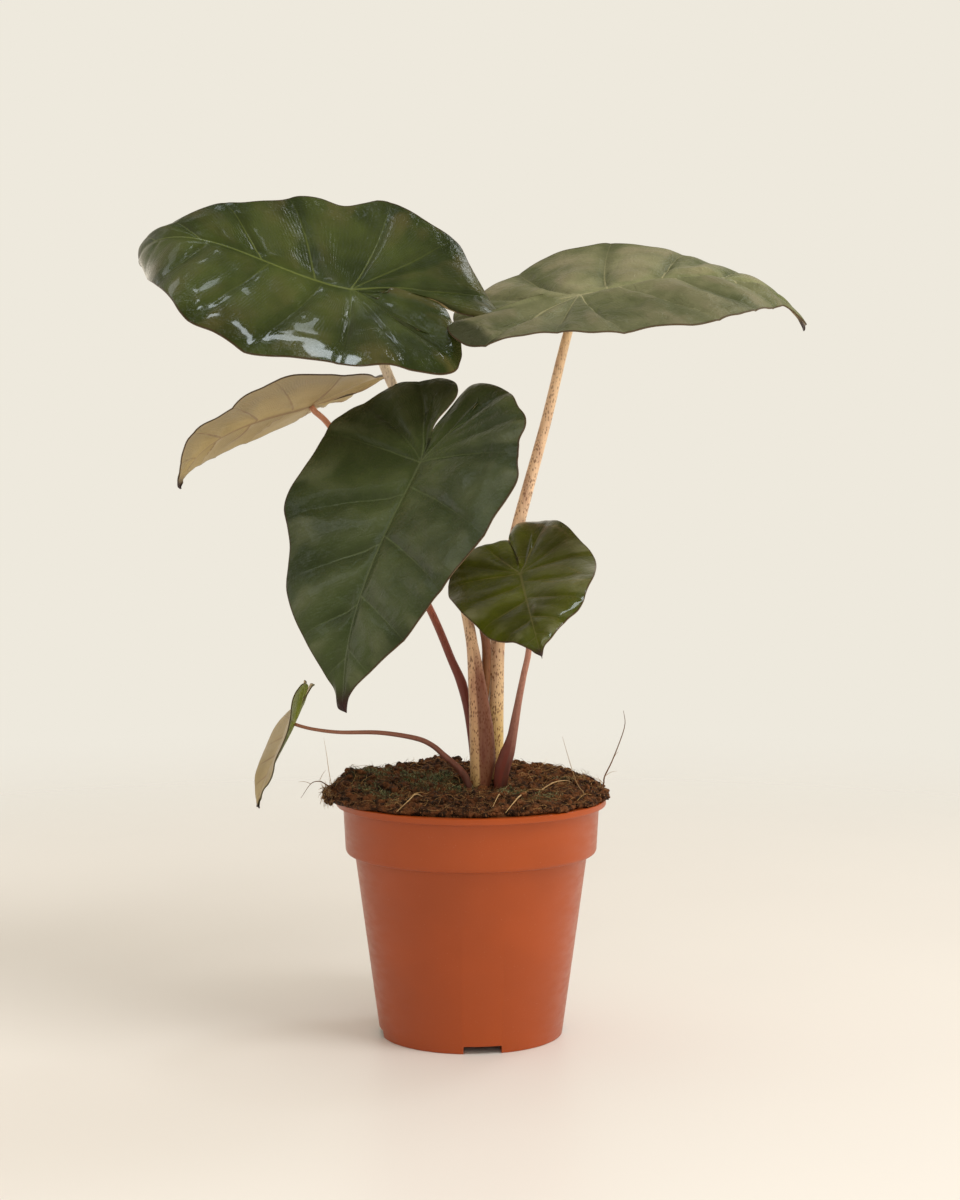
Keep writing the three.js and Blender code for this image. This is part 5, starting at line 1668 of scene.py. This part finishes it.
class ALOCASIA_OT_roots(AlocasiaOperator, bpy.types.Operator):
    """Model the loose roots and finish the corm"""
    bl_idname = "alocasia.roots"
    bl_label = "Corm and roots"

    def execute(self, context):
        build_roots(context.scene.alocasia_mix)
        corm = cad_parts["corm"]
        corm.data.materials.clear()
        corm.data.materials.append(corm_material())
        return {"FINISHED"}


class ALOCASIA_OT_stalks(AlocasiaOperator, bpy.types.Operator):
    """Model the six leaf stalks"""
    bl_idname = "alocasia.stalks"
    bl_label = "Leaf stalks"

    def execute(self, context):
        for name, leaf in LEAVES.items():
            build_stalk(name, leaf, STALK_LOOKS[name], context.scene.alocasia_stalks)
        return {"FINISHED"}


class ALOCASIA_OT_blades(AlocasiaOperator, bpy.types.Operator):
    """Model the six blades"""
    bl_idname = "alocasia.blades"
    bl_label = "Blades"

    def execute(self, context):
        for name, leaf in LEAVES.items():
            build_blade(name, leaf, BLADE_LOOKS[name], context.scene.alocasia_blades)
        return {"FINISHED"}


# The lights in metres: place, height aimed at, size, power as a share of one of the settings, colour, and
# the rays that don't see the light
SUN_WHITE, SKY_WHITE = (1, 0.98, 0.94), (0.94, 0.97, 1)
LIGHTS = {
    "key softbox": ((1.0, -0.83, 1.95), 0.2, (0.9, 0.9), ("key", 1), SUN_WHITE, "glossy"),
    "front fill": ((0.3, -2.4, 0.9), 0.2, (1.6, 1.4), ("front", 1), (1, 0.95, 0.87), "glossy"),
    "right fill": ((1.55, -0.55, 0.13), 0.11, (0.7, 0.22), ("front", 0.9), (1, 0.96, 0.76), "glossy"),
    "back softbox": ((1.0, 0.85, 1.9), 0.4, (0.4, 0.4), ("back", 1), (0.93, 0.97, 1), "camera"),
    "side panel": ((-0.9, -0.24, 2.1), 0.35, (0.5, 0.6), ("side", 0.4), SKY_WHITE, "diffuse"),
    "low panel": ((-1.7, 0.05, 1.4), 0.35, (0.45, 0.6), ("side", 0.2), SKY_WHITE, "diffuse"),
    "top panel": ((-0.16, 0.04, 2.55), 0.35, (0.34, 0.3), ("side", 0.6), (0.86, 0.94, 1), "diffuse"),
    "sheen panel": ((0.22, -1.0, 2.55), 0.35, (0.26, 0.26), ("side", 0.45), (0.86, 0.94, 1), "diffuse"),
}

# The floor and the camera, in metres, radians and millimetres of focal length
FLOOR_RADIUS = 1.6
CAMERA_PLACE = (0.00569, -1.5, 0.3925)
CAMERA_TILT = 0.076
CAMERA_LENS = 70.97
NEAREST_SEEN = 0.05


def add_light(name, place, height, size, power, colour, unseen_by):
    """A soft rectangular light that the camera doesn't see, nor one kind of ray."""
    data = bpy.data.lights.new(name, "AREA")
    data.shape = "RECTANGLE"
    data.size, data.size_y = size
    data.energy = power
    data.color = colour
    light = bpy.data.objects.new(name, data)
    bpy.context.scene.collection.objects.link(light)
    light.location = place
    aim = Vector((0, 0, height)) - Vector(place)
    light.rotation_euler = aim.to_track_quat("-Z", "Y").to_euler()
    light.visible_camera = False
    setattr(light, f"visible_{unseen_by}", False)


def floor_material(settings):
    """A matte floor that fades into the backdrop some way from the plant."""
    material, wiring, shader = new_material("floor", specular_ior_level=0.35)
    cloud = wiring.noise(0.4, 2)
    base = settings.floor[:]
    darker = tuple(c * 0.98 for c in base)
    place = wiring.node("ShaderNodeSeparateXYZ", {0: wiring.object_place()}).outputs
    level = wiring.node("ShaderNodeCombineXYZ", {0: place[0], 1: place[1]}).outputs[0]
    distance = wiring.node("ShaderNodeVectorMath", {0: level}, operation="LENGTH").outputs["Value"]
    wiring.shade(shader, base_color=wiring.blend(wiring.fade(cloud, 0.3, 0.7, 0, 1), base, darker),
                 roughness=wiring.fade(cloud, 0.3, 0.7, 0.4, 0.46),
                 alpha=wiring.fade(distance, 0.35, 1.5))
    return material


def build_floor(settings):
    """The round floor that the pot stands on, part of the stage."""
    bm = bmesh.new()
    bmesh.ops.create_circle(bm, cap_ends=True, radius=FLOOR_RADIUS, segments=96)
    mesh = bpy.data.meshes.new("floor")
    bm.to_mesh(mesh)
    bm.free()
    floor = bpy.data.objects.new("floor", mesh)
    bpy.context.scene.collection.objects.link(floor)
    mesh.materials.append(floor_material(settings))


def surround_strength(wiring, glossy_ray, settings):
    """How bright the surround is: brightest behind the plant; reflections see it dim overhead."""
    way = wiring.node("ShaderNodeSeparateXYZ", {
        0: wiring.node("ShaderNodeTexCoord").outputs["Generated"]}).outputs
    rise = wiring.fade(way[2], 0.35, 0.8, 1, 0.12)
    behind = wiring.fade(way[1], -0.5, 0.4, 0.5, 1)
    mirrored = wiring.math("MULTIPLY_ADD", rise, behind, wiring.fade(way[0], 0, -0.6, 0, 0.4))
    even = wiring.fade(way[1], -0.5, 0.4, 0.8, 1)
    glossy = wiring.math("MULTIPLY", glossy_ray, mirrored)
    other = wiring.math("MULTIPLY", wiring.math("SUBTRACT", 1, glossy_ray), even)
    return wiring.math("MULTIPLY", wiring.math("ADD", glossy, other), settings.surround)


def build_backdrop(settings):
    """The world: an even backdrop for the camera and a soft glow all round for the light."""
    world = bpy.data.worlds.new("backdrop")
    world.use_nodes = True
    world.node_tree.nodes.clear()
    wiring = Wiring(world.node_tree)
    path = wiring.node("ShaderNodeLightPath").outputs
    strength = surround_strength(wiring, path["Is Glossy Ray"], settings)
    seen = wiring.node("ShaderNodeBackground", {"Color": settings.backdrop[:], "Strength": 1})
    lit = wiring.node("ShaderNodeBackground", {"Color": settings.glow[:], "Strength": strength})
    chooser = wiring.node("ShaderNodeMixShader", {
        0: path["Is Camera Ray"], 1: lit.outputs[0], 2: seen.outputs[0]})
    output = wiring.node("ShaderNodeOutputWorld")
    wiring.feed(output.inputs["Surface"], chooser.outputs[0])
    bpy.context.scene.world = world
    bpy.context.scene.view_settings.view_transform = "Standard"


def place_camera():
    """The camera that was fitted to the photograph."""
    data = bpy.data.cameras.new("camera")
    data.lens = CAMERA_LENS
    data.clip_start = NEAREST_SEEN
    camera = bpy.data.objects.new("camera", data)
    bpy.context.scene.collection.objects.link(camera)
    camera.location = CAMERA_PLACE
    camera.rotation_euler = (math.pi / 2 - CAMERA_TILT, 0, 0)
    bpy.context.scene.camera = camera


class ALOCASIA_OT_stage(AlocasiaOperator, bpy.types.Operator):
    """Set out the floor, the lights, the backdrop and the camera"""
    bl_idname = "alocasia.stage"
    bl_label = "Stage"

    def execute(self, context):
        settings = context.scene.alocasia_stage
        build_floor(settings)
        for name, (place, height, size, (source, share), colour, unseen_by) in LIGHTS.items():
            power = getattr(settings, source) * share
            add_light(name, place, height, size, power, colour, unseen_by)
        build_backdrop(settings)
        place_camera()
        return {"FINISHED"}


class ALOCASIA_PT_panel(bpy.types.Panel):
    """Lists the steps that build the plant"""
    bl_label = "Alocasia"
    bl_idname = "ALOCASIA_PT_panel"
    bl_space_type = "VIEW_3D"
    bl_region_type = "UI"
    bl_category = "Alocasia"

    def draw(self, context):
        for operator in OPERATORS:
            self.layout.operator(operator.bl_idname)


SETTINGS = {
    "alocasia_pot": AlocasiaPotSettings,
    "alocasia_mix": AlocasiaMixSettings,
    "alocasia_blades": AlocasiaBladeSettings,
    "alocasia_stalks": AlocasiaStalkSettings,
    "alocasia_stage": AlocasiaStageSettings,
}
OPERATORS = [
    ALOCASIA_OT_stage, ALOCASIA_OT_pot, ALOCASIA_OT_mix, ALOCASIA_OT_roots, ALOCASIA_OT_stalks,
    ALOCASIA_OT_blades,
]


def register():
    for name, settings in SETTINGS.items():
        bpy.utils.register_class(settings)
        setattr(bpy.types.Scene, name, bpy.props.PointerProperty(type=settings))
    for operator in OPERATORS:
        bpy.utils.register_class(operator)
    bpy.utils.register_class(ALOCASIA_PT_panel)


def unregister():
    bpy.utils.unregister_class(ALOCASIA_PT_panel)
    for operator in reversed(OPERATORS):
        bpy.utils.unregister_class(operator)
    for name, settings in reversed(SETTINGS.items()):
        delattr(bpy.types.Scene, name)
        bpy.utils.unregister_class(settings)


def main():
    register()
    bpy.ops.alocasia.stage()
    bpy.ops.alocasia.pot()
    bpy.ops.alocasia.mix()
    bpy.ops.alocasia.roots()
    bpy.ops.alocasia.stalks()
    bpy.ops.alocasia.blades()


if __name__ == "__main__":
    main()
